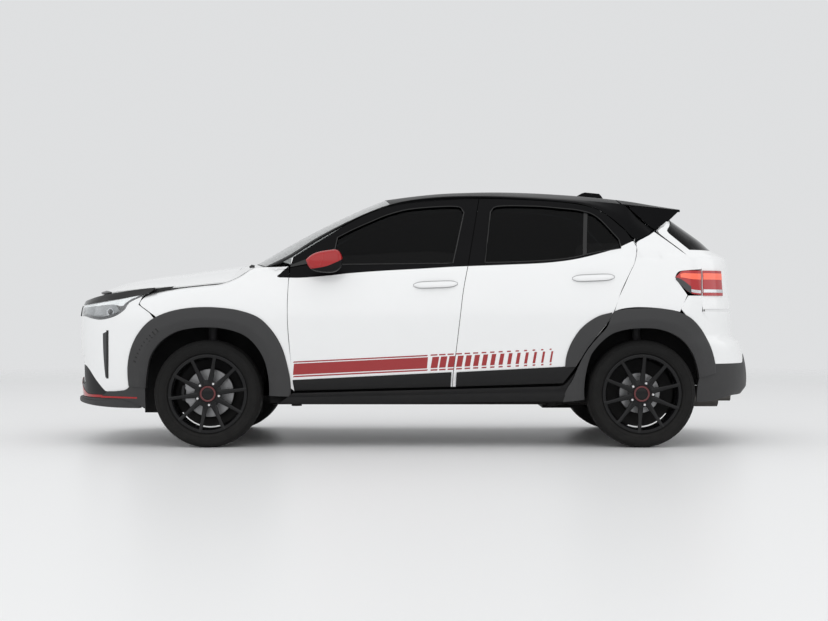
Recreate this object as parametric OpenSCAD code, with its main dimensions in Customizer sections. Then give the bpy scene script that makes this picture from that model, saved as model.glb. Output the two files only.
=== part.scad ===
// Compact crossover with hinged doors, bonnet and tailgate, steered front wheels and a hollow cabin

/* [Overall] */
// Distance between the axles
wheelbase = 2532; // [2300:1:2800]
// Nose to front axle
front_overhang = 865; // [780:1:960]
// Rear axle to tail
rear_overhang = 718; // [640:1:820]
// Width over the arch cladding
body_width = 1777; // [1640:1:1900]
// Height of the roof crown
roof_height = 1528; // [1420:1:1640]

/* [Panels] */
// Gap round an opening panel
panel_gap = 6; // [5:0.5:9]
// Gap between fixed panels
seat_gap = 0.4; // [0.3:0.1:0.6]
// Thickness of a single skin
skin_thick = 14; // [8:1:24]
// Thickness of a door below the glass
door_thick = 84; // [60:1:100]
// Thickness of a window frame
frame_thick = 40; // [30:1:50]
// Thickness of the glass
glass_thick = 5; // [3:0.5:8]
// How far the lower cladding stands out
clad_proud = 16; // [8:1:24]

/* [Wheels] */
// Tyre outer diameter
tyre_d = 626; // [580:1:660]
// Tyre width
tyre_w = 215; // [185:1:225]
// Rim diameter at the bead seat
rim_d = 432; // [406:1:457]
// Distance between the tyre centres
track = 1510; // [1420:1:1540]
// Number of spokes
spoke_n = 10; // [5:1:14]
// Width of a spoke at the rim
spoke_w = 17; // [12:1:26]
// Front brake disc diameter
disc_d = 284; // [240:1:310]
// Rear drum diameter
drum_d = 240; // [200:1:280]
// Stub axle diameter
stub_d = 44; // [30:1:54]

/* [Hidden] */
$fn = 64;

// Frame: x runs rearward from the middle of the length, y to the car's right, z up from the ground
length = front_overhang + wheelbase + rear_overhang;
x_nose = -length / 2;
x_front = x_nose + front_overhang;
x_rear = x_front + wheelbase;
z_axle = tyre_d / 2;
half_w = body_width / 2;

// Sight line of the outlines, which are kept as pixels of a level side view
hub_px = [208, 641.6];
horizon_px = 310.5;
axis_px = 414;
eye_away = 6.69 * roof_height;
eye_up = 0.523 * roof_height;
hub_away = eye_away - 0.54 * roof_height;
tall_px = 261.7;
axis_share = (axis_px - hub_px[0]) / (hub_px[1] - hub_px[0]);
x_axis = x_front + axis_share * wheelbase;

// Maths
function lerp(a, b, t) = a + (b - a) * t;
function clamp(v, lo, hi) = min(max(v, lo), hi);
function smooth(t) = let (c = clamp(t, 0, 1)) c * c * (3 - 2 * c);
function seg(p, x, i = 0) = i >= len(p) - 2 || x < p[i + 1][0] ? i : seg(p, x, i + 1);
function slope(p, i) =
    let (a = max(i - 1, 0), b = min(i + 1, len(p) - 1)) (p[b][1] - p[a][1]) / (p[b][0] - p[a][0]);
function at(p, x) =
    let (i = seg(p, x), h = p[i + 1][0] - p[i][0], t = (x - p[i][0]) / h)
    t < 0 ? p[i][1] + slope(p, i) * (x - p[i][0]) :
    t > 1 ? p[i + 1][1] + slope(p, i + 1) * (x - p[i + 1][0]) :
    p[i][1] * (1 + 2 * t) * (1 - t) * (1 - t) + p[i + 1][1] * t * t * (3 - 2 * t)
    + h * (slope(p, i) * t * (1 - t) * (1 - t) - slope(p, i + 1) * t * t * (1 - t));
function power(v, e) = v <= 0 ? 0 : pow(v, e);
function spline(p, t) =
    let (n = len(p) - 1, s = clamp(t, 0, 1) * n, i = min(floor(s), n - 1), f = s - i,
        b = p[i], c = p[i + 1], a = i > 0 ? p[i - 1] : 2 * b - c, d = i < n - 1 ? p[i + 2] : 2 * c - b)
    b + f / 2 * ((c - a) + f * ((2 * a - 5 * b + 4 * c - d) + f * (3 * b - a - 3 * c + d)));

// Places along the car: shares of the front overhang, the wheelbase and the rear overhang
function st(s) = s < 0 ? x_front + s * front_overhang : s <= 1 ? x_front + s * wheelbase :
    x_rear + (s - 1) * rear_overhang;
function ht(h) = h * roof_height;
function stations(table) = [for (p = table) [st(p[0]), p[1]]];

// Body side: half width at the widest level, shoulder height, and the section below, at and above it
plan_shares = [[-0.31, 0.932], [0, 0.948], [0.19, 0.962], [0.47, 0.968], [0.83, 0.970], [1, 0.960],
    [1.3, 0.938]];
shoulder_shares = [[-0.31, 0.609], [0.04, 0.638], [0.186, 0.650], [0.32, 0.666], [0.49, 0.684],
    [0.67, 0.698], [0.81, 0.711], [1, 0.726], [1.5, 0.726]];
wide_share = 0.49;
tuck_share = 0.05;
belt_share = 0.047;
step_share = 0.011;
lean_share = 0.6535;
lean_curve_share = 0.9115;
plan_table = stations(plan_shares);
shoulder_table = [for (p = shoulder_shares) [st(p[0]), ht(p[1])]];
z_wide = ht(wide_share);
nose_from = st(-0.31);
tail_from = st(1.02);
corner_power = 3.2;
nose_shares = [[0.10, 0.94], [0.20, 0.965], [0.30, 0.975], [0.42, 0.98], [0.50, 0.973], [0.556, 0.948],
    [0.59, 0.888], [0.615, 0.79]];
tail_shares = [[0.17, 0.913], [0.20, 0.965], [0.225, 1], [0.285, 1], [0.345, 0.975], [0.40, 0.935],
    [0.425, 0.872], [0.52, 0.865], [0.59, 0.845], [0.66, 0.832], [0.71, 0.830], [0.73, 0.81],
    [0.756, 0.71], [0.80, 0.60], [0.88, 0.35], [0.93, 0.20]];
nose_table = [for (p = nose_shares) [ht(p[0]), x_front - p[1] * front_overhang]];
tail_table = [for (p = tail_shares) [ht(p[0]), x_rear + p[1] * rear_overhang]];
function nose_x(z) = at(nose_table, z);
function tail_x(z) = at(tail_table, z);
function side_flat(x, z) =
    let (p = at(plan_table, x) * half_w, s = at(shoulder_table, x), up = z - s)
    up > 0 ? p - half_w * (belt_share + step_share * smooth(up / ht(0.02)))
        - half_w * up / roof_height * (lean_share + lean_curve_share * up / roof_height) :
    z > z_wide ? p - half_w * belt_share * pow((z - z_wide) / (s - z_wide), 2) :
    p - half_w * tuck_share * pow((z_wide - z) / (z_wide * 0.66), 2);
function side_y(x, z) =
    x < nose_from ?
        let (c = (nose_from - x) / (nose_from - nose_x(z)))
        side_flat(nose_from, z) * power(1 - power(c, corner_power), 1 / corner_power) :
    x > tail_from ?
        let (c = (x - tail_from) / (tail_x(z) - tail_from))
        side_flat(tail_from, z) * power(1 - power(c, corner_power), 1 / corner_power) :
    side_flat(x, z);

// Pixels to places, at a known half width or on the body side
function away(y) = (eye_away - y) / hub_away;
function px_x(px, y) = x_axis + (px - axis_px) * away(y) * wheelbase / (hub_px[1] - hub_px[0]);
function px_z(py, y) = eye_up + (horizon_px - py) * away(y) * roof_height / tall_px;
function put(p, y) = [px_x(p[0], y), px_z(p[1], y)];
function on_side(p) =
    let (a = put(p, 0.93 * half_w), b = put(p, side_y(a[0], a[1])), c = put(p, side_y(b[0], b[1])))
    put(p, side_y(c[0], c[1]));
function row(a, b, shares) = [for (s = shares) lerp(a, b, s)];

// Closed solid between an outer and an inner grid of points, with an optional open block of cells
module shell(out, inn, hole = [0, 0, 0, 0]) {
    nu = len(out);
    nv = len(out[0]);
    pts = concat([for (r = out) each r], [for (r = inn) each r]);
    half = nu * nv;
    function o(i, j) = i * nv + j;
    function n(i, j) = half + i * nv + j;
    function has(i, j) = i >= 0 && j >= 0 && i < nu - 1 && j < nv - 1
        && !(i >= hole[0] && i < hole[1] && j >= hole[2] && j < hole[3]);
    faces = [for (i = [0:nu - 2]) for (j = [0:nv - 2]) if (has(i, j)) each concat(
        [[o(i, j), o(i, j + 1), o(i + 1, j + 1)], [o(i, j), o(i + 1, j + 1), o(i + 1, j)],
            [n(i, j), n(i + 1, j + 1), n(i, j + 1)], [n(i, j), n(i + 1, j), n(i + 1, j + 1)]],
        has(i, j - 1) ? [] : [[o(i, j), o(i + 1, j), n(i + 1, j)], [o(i, j), n(i + 1, j), n(i, j)]],
        has(i, j + 1) ? [] : [[o(i + 1, j + 1), o(i, j + 1), n(i, j + 1)],
            [o(i + 1, j + 1), n(i, j + 1), n(i + 1, j + 1)]],
        has(i - 1, j) ? [] : [[o(i, j + 1), o(i, j), n(i, j)], [o(i, j + 1), n(i, j), n(i, j + 1)]],
        has(i + 1, j) ? [] : [[o(i + 1, j), o(i + 1, j + 1), n(i + 1, j + 1)],
            [o(i + 1, j), n(i + 1, j + 1), n(i + 1, j)]])];
    polyhedron(points = pts, faces = faces, convexity = 10);
}

// Grid of places on the body side from rows of pixels, each row split into steps
function side_net(rows, steps) =
    let (nets = [for (r = rows) [for (p = r) on_side(p)]])
    [for (i = [0:len(rows[0]) - 1])
        concat([for (k = [0:len(steps) - 1]) for (s = [0:steps[k] - 1])
            spline([for (r = nets) r[i]], (k + s / steps[k]) / len(steps))],
            [nets[len(rows) - 1][i]])];
// The same grid drawn in from its edges
function drawn_in(net, edge) =
    let (m = len(net) - 1, n = len(net[0]) - 1)
    [for (i = [0:m]) [for (j = [0:n]) net[i][j]
        + [(i == 0 ? 1 : i == m ? -1 : 0) * edge, (j == 0 ? 1 : j == n ? -1 : 0) * edge]]];
function raised(net, out) = [for (c = net) [for (p = c) [p[0], -side_y(p[0], p[1]) - out, p[1]]]];
function door_depth(x, z) =
    lerp(door_thick, frame_thick, smooth((z - at(shoulder_table, x) + ht(0.05)) / ht(0.05)));
function sunk_door(net) =
    [for (c = net) [for (p = c) [p[0], door_depth(p[0], p[1]) - side_y(p[0], p[1]), p[1]]]];
module both_sides() {
    children();
    mirror([0, 1, 0]) children();
}
module side(s) {
    if (s < 0) children();
    else mirror([0, 1, 0]) children();
}

// Outlines of the body side, front to rear and bottom to top
door_cols_share = [0, 0.26, 0.38, 0.5, 0.62, 0.74, 0.84, 0.93, 1];
front_door_px = [
    row([294.5, 391], [452.5, 387], door_cols_share),
    row([292.3, 380], [453.4, 372], door_cols_share),
    row([289.5, 350], [456.3, 350], door_cols_share),
    row([287.3, 319], [460, 319], door_cols_share),
    row([287.8, 290], [463.5, 290], door_cols_share),
    [[290, 268], [331.5, 264.5], [355, 264.2], [375, 264], [395, 263.8], [415, 263.6], [434, 263.4],
        [453, 263.2], [468.5, 263]],
    [[291, 263], [337.5, 237.5], [352, 230], [370, 222], [390, 214], [412, 209], [446, 206.2],
        [463.5, 213.5], [476.7, 213]],
    [[291.3, 258], [340, 228.2], [352, 221.5], [370, 213], [390, 206], [412, 202], [444, 199.4],
        [465, 198.7], [479, 198.5]]];
rear_door_px = [
    row([452.5, 387], [555, 385], door_cols_share),
    row([453.4, 372], [573, 372], door_cols_share),
    row([456.3, 350], [586, 350], door_cols_share),
    row([460, 319], [610.5, 319], door_cols_share),
    row([463.5, 290], [622, 290], door_cols_share),
    [[468.5, 263], [485, 262.5], [510, 262], [535, 261], [556, 259.6], [575, 257], [593, 252.8],
        [621, 248], [634.8, 263]],
    [[476.7, 213], [490, 208.5], [508, 205.7], [535, 206.2], [560, 208.2], [580, 210.5], [597, 217],
        [619, 239.5], [636.5, 254]],
    [[479, 198.5], [492, 198.6], [510, 199], [535, 200.3], [562, 202.2], [585, 205.5], [603, 212.3],
        [626, 231], [637, 247]]];
door_steps = [1, 1, 1, 1, 2, 2, 1];
door_hole = [1, 7, 6, 8];
clad_row = 1;
hinge_row = 3;
door_arch_out_px = [[612, 312.4], [600, 315.5], [590, 321], [581, 328.5], [574, 338], [569, 348], [566,
    358], [565, 371]];
door_arch_in_px = [[612.2, 315], [607.5, 323], [601, 331], [594, 340], [587, 349], [581.5, 358],
    [577.5, 365], [574, 371]];

// Front wing: arch below, bonnet seam above, then a roll over the top
arch_px = wheelbase / (hub_px[1] - hub_px[0]);
front_lip_r = 70.6 * arch_px;
arch_r = front_lip_r + panel_gap;
wing_foot_px = [291.5, 392];
wing_bow_px = [287, 325];
wing_front_px = [[155.5, 333], [153.5, 321], [151, 311], [147.5, 303]];
wing_top_px = [[152, 293], [167, 290], [184, 287.5], [202, 285.5], [221, 283.2], [238, 276.5],
    [252, 268], [262, 267], [276, 266.7], [289, 266]];
wing_angles = [137, 124, 109, 94, 80, 66, 52, 34, 15, -6];
seam_y = 0.79 * half_w;
roll_h = 0.022 * roof_height;

// Frame boxes across the car: ends along it, half width, bottom and top
mid_boxes_shares = [
    [0.15, 0.93, 0.702, 0.165, 0.185],
    [0.1, 0.16, 0.505, 0.165, 0.185],
    [0.1, 0.8, 0.1, 0.165, 0.255],
    [0.1, 0.115, 0.505, 0.165, 0.46],
    [0.1, 0.115, 0.8, 0.45, 0.655],
    [0.915, 0.93, 0.56, 0.165, 0.3],
    [0.915, 1.8, 0.56, 0.28, 0.3],
    [1.747, 1.8, 0.6, 0.28, 0.403],
    [-0.8, -0.756, 0.6, 0.39, 0.46]];
// Paired frame boxes: ends along the car, inner and outer half width, bottom and top
side_boxes_shares = [
    [0.14, 0.862, 0.7, 0.8, 0.165, 0.27],
    [0.14, 0.168, 0.7, 0.8, 0.165, 0.64],
    [0.1, 0.15, 0.7, 0.8, 0.45, 0.64],
    [0.965, 1.12, 0.7, 0.8, 0.52, 0.69],
    [0.93, 1.12, 0.56, 0.75, 0.5, 0.55],
    [0.945, 1.55, 0.56, 0.594, 0.28, 0.66],
    [1.34, 1.415, 0.56, 0.78, 0.6, 0.66],
    [-0.8, 0.1, 0.45, 0.505, 0.32, 0.4],
    [-0.42, 0.1, 0.49, 0.505, 0.39, 0.56]];

// Frame sizes
floor_z = ht(0.165);
floor_thick = ht(0.02);
sill_top_share = 0.27;
sill_in = 0.70 * half_w;
sill_out = 0.80 * half_w;
post_in = 0.70 * half_w;
post_out = 0.80 * half_w;
post_set = door_thick + 2 * panel_gap;
post_deep = frame_thick;
post_top_share = 0.93;
post_rows_share = [0, 0.25, 0.5, 0.62, 0.75, 0.88, 1];
tunnel_w = 0.2 * half_w;
tunnel_h = ht(0.09);
boot_w = 1.12 * half_w;
boot_wall = 0.034 * half_w;
lug_out = 0.38 * half_w;
lug_in = 0.32 * half_w;
lug_long = ht(0.06);
lug_h = ht(0.02);
lamp_seat = 0.78 * half_w;
hinge_deep = 0.25;
hinge_h = ht(0.02);
hinge_w = 1.5 * panel_gap;
arm_y = 0.60 * half_w;
arm_foot = st(0.11);
arm_back = ht(0.05);
arm_long_back = ht(0.03);
arm_low = ht(0.60);
arm_high = ht(0.62);
b_post = [st(0.575), st(0.625)];
beam_front = st(-0.80);
beam_rear = st(1.80);
rail_y = 0.45 * half_w;
rail_w = 0.055 * half_w;
liner_thick = 4;
housing_out = 0.915 * half_w;
housing_cut_share = 0.5;
housing_deep = 0.155 * half_w;
jack_shares = [0.2, 0.8];
jack_h = ht(0.012);
jack_d = ht(0.04);
engine_w = 2 * (rail_y - seat_gap);
engine_x = [st(-0.52), st(-0.02)];
engine_z = [ht(0.2), ht(0.54)];
cut_over = 1;
engine_cut = ht(0.08);

// Nose and tail pieces
grille_set = 4;
lamp_deep = ht(0.03);
lip_h = ht(0.026);
lip_out = nose_x(ht(0.185)) - x_nose;
lip_deep = ht(0.04);
gate_thick = ht(0.03);
spoiler_tip = st(1.42);
spoiler_z = ht(0.917);
aerial_px = [[577, 199.5], [585, 193.8], [590, 192.8], [598, 193.2], [600.5, 195], [603, 200.5]];
aerial_w = 0.045 * half_w;
aerial_h = ht(0.011);
lamp_proud = 8;
fin_low_px = [[630.5, 209.5], [641, 218.5], [655.5, 229.5], [668, 221.5]];
fin_top_px = [[629.5, 206.3], [643, 207.5], [660, 209], [679, 211]];
fin_low_shares = [0.685, 0.72, 0.755, 0.73];
lamp_low_px = [[678.3, 280], [685.5, 288.7], [692, 293], [700, 294]];
lamp_top_px = [[678.8, 277], [684, 272], [691.5, 271.3], [700, 271.6]];

// Cladding: each arch is a list of angle from the rear, opening radius and outer radius
lip_in = ht(0.033);
clad_off = 4;
door_clad_share = 0.7;
arch_lip_share = 0.8;
rear_lip_r = 68.1 * arch_px;
front_arch_px = [[9, 61.8, 83.5], [20, 63.5, 84.6], [32, 66, 87.6], [44, 67.9, 90.2], [56, 69, 91.7],
    [68, 67.9, 89.4], [80, 66.7, 87.2], [92, 66.5, 86.8], [104, 67.5, 88.2], [116, 69.4, 91], [128,
        70.4, 93.4],
    [138, 70.1, 92.6], [148, 68.6, 90.2], [158, 65.7, 86.8], [167, 64, 83.4], [175, 63.3, 80.6]];
rear_arch_px = [[15, 60, 79], [26, 62, 82], [38, 64.8, 85.5], [50, 66.9, 89], [60, 67.4, 90.3], [75,
    66.7, 87.7],
    [90, 65.6, 85.5], [103, 66.1, 86.4], [109.5, 66.6, 86.4], [118, 67, 75.4], [130, 65.7, 71.4], [142,
        64.3, 70],
    [156, 60.5, 69.4], [170, 57.9, 69.4]];
skirt_low_px = [[278, 404], [330, 404], [400, 403.5], [460, 402.5], [520, 401.5], [574, 401.5]];
skirt_top_px = [[293, 394.5], [330, 394], [400, 392.5], [460, 391], [520, 389.5], [558, 388.7]];

// Running gear sizes
hub_d = 0.33 * rim_d;
hub_h = 0.12 * rim_d;
hub_face = 0.28 * tyre_w;
rim_wall = 0.014 * rim_d;
rim_half = 0.44 * tyre_w;
bead_gap = 1.5 * seat_gap;
rim_lip = 0.038 * rim_d;
rotor_set = 0.09 * tyre_w;
disc_w = 0.1 * tyre_w;
drum_w = 0.22 * tyre_w;
stub_clear = 0.3;
ball_y = track / 2 - rotor_set - disc_w - panel_gap;
arm_end = ball_y - 0.13 * tyre_w;
foot_in = ball_y - 0.26 * tyre_w;
caliper_w = rotor_set + disc_w + 2 * panel_gap;
arm_w = 0.1 * tyre_d;
arm_top = ht(0.163);
strut_d = 0.088 * tyre_d;
strut_y = lerp(rail_y + rail_w, housing_out - housing_deep, 0.535);
strut_z = ht(0.28);
strut_h = ht(0.33);
perch_z = [ht(0.345), ht(0.375)];
subframe_z = [ht(0.145), ht(0.18)];
mount_z = [ht(0.17), ht(0.32) - seat_gap];
arm_under_z = ht(0.148);
beam_back = 0.2 * tyre_d;
spring_y = lerp(boot_w / 2 + boot_wall, housing_out - housing_deep, 0.35) - stub_d / 2;
spring_top = ht(0.50) - seat_gap;
arm_x = st(0.93) + seat_gap;
beam_d = 1.6 * stub_d;
pipe_d = ht(0.032);
tip_d = 1.2 * pipe_d;
silencer_d = 2.6 * pipe_d;
pipe_z = floor_z - pipe_d / 2 - seat_gap;
tail_z = ht(0.185);
tip_y = 0.54 * half_w;
pipe_x = [st(0.12), st(1.35), st(1.4), st(1.7), st(1.81)];
tank_h = ht(0.05);
tank_x = [st(0.80), st(0.90)];

// Cabin sizes
dash_w = 2 * post_in - 2 * panel_gap;
dash_shares = [[0.1152, 0.40], [0.19, 0.42], [0.235, 0.52], [0.22, 0.62], [0.17, 0.655], [0.1152, 0.65]];
wheel_x = st(0.25);
wheel_z = ht(0.59);
wheel_lean = 65;
wheel_y = 0.40 * half_w;
wheel_d = ht(0.24);
grip_d = ht(0.019);
seat_round = ht(0.025);
seat_long = ht(0.31);
seat_shares = [[0, 0], [1, 0], [1.36, 1.355], [1.2, 1.387], [0.82, 0.419], [0, 0.516]];
front_seat_x = st(0.34);
rear_seat_x = st(0.68);
seat_w = 0.54 * half_w;
bench_w = 1.34 * half_w;
door_taper = 0.2 * door_thick;
glass_set = frame_thick / 3;
mirror_y = 1.045 * half_w;
mirror_deep = ht(0.036);
mirror_foot = 14;
mirror_arm_px = [322, 263];
mirror_px = [[310, 263], [318, 256], [336, 253.5], [338, 259], [336, 267], [318, 268.5]];

// Wing grid: rows from the arch to the shoulder, then a quarter round to the bonnet seam
function wing_column(i) =
    let (a = wing_angles[i], low = [x_front + arch_r * cos(a), z_axle + arch_r * sin(a)],
        bottom = i == len(wing_angles) - 1 ? on_side(wing_foot_px) : low,
        edge = on_side(wing_top_px[i]), top = edge - [0, roll_h],
        bow = i == len(wing_angles) - 1 ? on_side(wing_bow_px)[0] - (bottom[0] + top[0]) / 2 : 0,
        rise = [for (v = [0:0.25:1]) i == 0 && v > 0 ? on_side(wing_front_px[4 * v - 1]) :
            lerp(bottom, top, v) + [4 * bow * v * (1 - v), 0]],
        end = rise[4],
        y_top = side_y(end[0], end[1]),
        seam = lerp(seam_y, y_top - roll_h, smooth((i - 6) / 2)))
    concat([for (p = rise) [p[0], -side_y(p[0], p[1]), p[1]]],
        [for (a = [30, 60, 90])
            [lerp(edge[0], end[0], cos(a)), -lerp(seam, y_top, cos(a)), lerp(end[1], edge[1], sin(a))]]);
function wing_grid() = [for (i = [0:len(wing_angles) - 1]) wing_column(i)];

// Moves grid points inward: sideways, or down where the surface turns level
function sunk(grid, t, taper) =
    let (m = len(grid) - 1, n = len(grid[0]) - 1)
    [for (i = [0:m]) [for (j = [0:n])
        let (u = grid[min(i + 1, m)][j] - grid[max(i - 1, 0)][j],
            v = grid[i][min(j + 1, n)] - grid[i][max(j - 1, 0)],
            w = cross(u, v))
        grid[i][j] - t * w / norm(w)
            + taper * ((i == 0 ? 1 : i == m ? -1 : 0) * u / norm(u)
            + (j == 0 ? 1 : j == n ? -1 : 0) * v / norm(v))]];
function trimmed(grid, e, side_e = -1) =
    let (m = len(grid) - 1, n = len(grid[0]) - 1)
    [for (i = [0:m]) [for (j = [0:n])
        let (u = grid[min(i + 1, m)][j] - grid[max(i - 1, 0)][j],
            v = grid[i][min(j + 1, n)] - grid[i][max(j - 1, 0)])
        grid[i][j] + (side_e < 0 ? e : side_e) * (i == 0 ? 1 : i == m ? -1 : 0) * u / norm(u)
            + e * (j == 0 ? 1 : j == n ? -1 : 0) * v / norm(v)]];
function set_x(grid, ia, ib, ja, jb, x) =
    [for (i = [0:len(grid) - 1]) [for (j = [0:len(grid[0]) - 1])
        i >= ia && i <= ib && j >= ja && j <= jb ? [x, grid[i][j][1], grid[i][j][2]] : grid[i][j]]];
function set_y(grid, ia, ib, ja, jb, y) =
    [for (i = [0:len(grid) - 1]) [for (j = [0:len(grid[0]) - 1])
        i >= ia && i <= ib && j >= ja && j <= jb ? [grid[i][j][0], y, grid[i][j][2]] : grid[i][j]]];
module sheet(grid, t, edge, taper = 0) {
    out = trimmed(grid, edge);
    shell(out, sunk(out, t, taper));
}

// Roof rail from the windscreen base over the pillar to the tailgate, with its half widths
rail_px = [[266, 266.5], [290, 254.5], [310, 241.8], [330, 230.4], [350, 220.4], [370, 211.5], [390, 204.4],
    [410, 200], [440, 196.8], [470, 195.8], [500, 196], [535, 197.4], [570, 199.4], [585, 200.6], [600,
        201.9],
    [620, 204]];
rail_y_shares = [0.80, 0.775, 0.757, 0.737, 0.717, 0.697, 0.68, 0.672, 0.668, 0.666, 0.665, 0.664,
    0.663, 0.6625,
    0.662, 0.662];
rail_low_px = [[279, 264.6], [291, 257.7], [310, 245.7], [330, 233.7], [350, 222.5], [370, 213], [390, 206],
    [410, 202.2], [440, 199.6], [470, 198.6], [500, 198.8], [535, 200.3], [570, 203], [585, 205.5],
        [603, 212.3],
    [622, 227]];
rail = [for (i = [0:len(rail_px) - 1])
    let (y = rail_y_shares[i] * half_w, p = put(rail_px[i], y)) [p[0], -y, p[1]]];
rail_low = [for (p = rail_low_px) let (q = on_side(p)) [q[0], -side_y(q[0], q[1]), q[1]]];
screen_n = 6;
rail_n = len(rail) - 1;

// Cap behind the rear door: its lower edge and its upper edge meet the quarter panel and the tailgate
cap_low_px = [[622, 227], [633, 237.5], [640, 238.3], [649, 234]];
cap_top_px = [[620, 204], [627, 207.5], [638, 219], [652, 229.5]];
cap_y_shares = [0.662, 0.685, 0.72, 0.755];

// Quarter panel: arch and lamp edge below, door edge and tailgate edge above
quarter_low_px = [[614.5, 311.5], [622, 309], [634, 307.5], [647, 307.5], [660, 308.5], [672, 310.3],
    [680, 312], [686.5, 296], [675, 278], [676.5, 274], [680, 271.3], [690, 270.2], [701, 269.5]];
quarter_top_px = [[618, 299], [624.5, 285.5], [630, 273], [635, 262], [637.3, 250], [636.5, 243],
    [639.5, 240], [643.5, 238], [649.5, 234.8], [654, 231.5], [664, 238.5], [682, 251.5], [702, 266.5]];

// Screen and roof crowns
cowl_x_share = 0.088;
cowl_z_share = 0.712;
header_back = ht(0.03);
screen_bow = ht(0.014);
crown_power = 2.2;
rail_bow = ht(0.006);
cowl_thick = ht(0.012);
roof_thick = 0.4 * frame_thick;
across_share = [-1, -0.85, -0.6, -0.3, 0, 0.3, 0.6, 0.85, 1];
roof_mid_shares = [[0.40, 0.968], [0.424, 0.974], [0.475, 0.985], [0.54, 0.994], [0.66, 1], [0.76, 0.997],
    [0.86, 0.988], [0.94, 0.977], [1.0, 0.966], [1.2, 0.95]];
roof_mid = [for (p = roof_mid_shares) [st(p[0]), ht(p[1])]];

// Nose: shares of the turn from the middle to the side, heights of the rows, and where the side ends
nose_cols_share = [0, 0.1, 0.2, 0.32, 0.44, 0.56, 0.68, 0.8, 0.9, 1];
nose_n = len(nose_cols_share) - 1;
nose_row_mid_shares = [0.185, 0.235, 0.29, 0.345, 0.40, 0.45, 0.50, 0.545, 0.562];
nose_row_side_shares = [0.185, 0.235, 0.29, 0.345, 0.40, 0.45, 0.535, 0.598, 0.612];
nose_end_shares = [[0.17, -0.51], [0.28, -0.495], [0.34, -0.455], [0.40, -0.39], [0.46, -0.37],
    [0.52, -0.41], [0.548, -0.465], [0.575, -0.45], [0.598, -0.395], [0.615, -0.36]];
nose_end_table = [for (p = nose_end_shares) [ht(p[0]), st(p[1])]];
// Point on a nose or tail face at share q of the turn, between the middle and the place the side ends
function face_point(q, z, from, tip, end) =
    let (c_end = clamp((from - end) / (from - tip), 0, 1),
        turn = abs(q) * acos(pow(c_end, corner_power / 2)),
        c = power(cos(turn), 2 / corner_power),
        s = power(sin(turn), 2 / corner_power))
    [from - c * (from - tip), sign(q) * side_flat(from, z) * s, z];
function nose_q(k) = let (m = k - nose_n) -sign(m) * nose_cols_share[abs(m)];
function nose_z(r, q) =
    lerp(ht(nose_row_mid_shares[r]), ht(nose_row_side_shares[r]), smooth((abs(q) - 0.3) / 0.6));
function nose_point(k, r) =
    let (q = nose_q(k), z = nose_z(r, q)) face_point(q, z, nose_from, nose_x(z), at(nose_end_table, z));
function nose_block(ka, kb, ra, rb) = [for (k = [ka:kb]) [for (r = [ra:rb]) nose_point(k, r)]];
brow_row = len(nose_row_mid_shares) - 1;

// Bonnet: centre line, fall to the seam, plan ends
bonnet_mid_px = [[88, 298.5], [96, 293.5], [112, 288], [129, 282.7], [158, 276.8], [187, 273], [217, 268.7],
    [246, 265]];
bonnet_mid = [for (p = bonnet_mid_px) put(p, 0.28 * half_w)];
bonnet_fall_shares = [[-0.95, 0.004], [-0.8, 0.026], [-0.6, 0.042], [-0.27, 0.056], [0.04, 0.066]];
bonnet_fall = [for (p = bonnet_fall_shares) [st(p[0]), ht(p[1])]];
bonnet_rows_share = [-1, -0.8, -0.55, -0.28, 0, 0.28, 0.55, 0.8, 1];
bonnet_steps = 9;
bonnet_back = st(0.06);
function bonnet_z(x, s) = at(bonnet_mid, x) - at(bonnet_fall, x) * power(abs(s), crown_power);
bonnet_lip_z = ht(0.585);
bonnet_sweep = ht(0.03);
bonnet_set = 3.8 * skin_thick + panel_gap;
function bonnet_front(y) =
    let (z = bonnet_lip_z) nose_from - (nose_from - nose_x(z) - bonnet_set) *
        power(1 - power(abs(y) / side_flat(nose_from, z), corner_power), 1 / corner_power);
function bonnet_point(i, s) =
    let (y = s * (seam_y - panel_gap), back = bonnet_back - bonnet_sweep * power(abs(s), 3),
        x = lerp(bonnet_front(y), back, i / bonnet_steps))
    [x, y, bonnet_z(x, s)];
bonnet_grid = [for (i = [0:bonnet_steps]) [for (s = bonnet_rows_share) bonnet_point(i, s)]];
function cowl_front(s) =
    let (y = s * (seam_y - panel_gap))
    [bonnet_back + 2 * panel_gap - bonnet_sweep * power(abs(s), 3), y, bonnet_z(bonnet_back,
        s) - cowl_thick];
arm_set = 1.1 * skin_thick + seat_gap;
arm_under = bonnet_z(bonnet_back - arm_back, arm_y / (seam_y - panel_gap)) - arm_set;

// Tail face: columns across, rows up; the bumper below and the tailgate above
tail_cols_share = [0, 0.1, 0.22, 0.36, 0.5, 0.64, 0.78, 0.9, 1];
tail_n = len(tail_cols_share) - 1;
function tail_q(k) = let (m = k - tail_n) sign(m) * tail_cols_share[abs(m)];
valance_row_shares = [0.172, 0.20, 0.228, 0.285, 0.33, 0.351];
bumper_row_shares = [0.351, 0.375, 0.402, 0.425, 0.47, 0.52];
gate_row_shares = [0.527, 0.57, 0.62, 0.67, 0.71, 0.728, 0.757, 0.80, 0.84, 0.868, 0.895, 0.91];
bumper_end_shares = [[0.17, 0.54], [0.26, 0.585], [0.319, 0.60], [0.365, 0.585], [0.411, 0.535], [0.46,
    0.47],
    [0.497, 0.40], [0.522, 0.33], [0.587, 0.39]];
gate_end_shares = [[0.52, 0.56], [0.58, 0.56], [0.66, 0.55], [0.692, 0.527], [0.73, 0.416], [0.763, 0.346],
    [0.806, 0.224], [0.833, 0.20], [0.85, 0.25], [0.88, 0.29], [0.93, 0.18]];
bumper_end = [for (p = bumper_end_shares) [ht(p[0]), x_rear + p[1] * rear_overhang]];
gate_end = [for (p = gate_end_shares) [ht(p[0]), x_rear + p[1] * rear_overhang]];
bumper_lift_share = 0.06;
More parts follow.
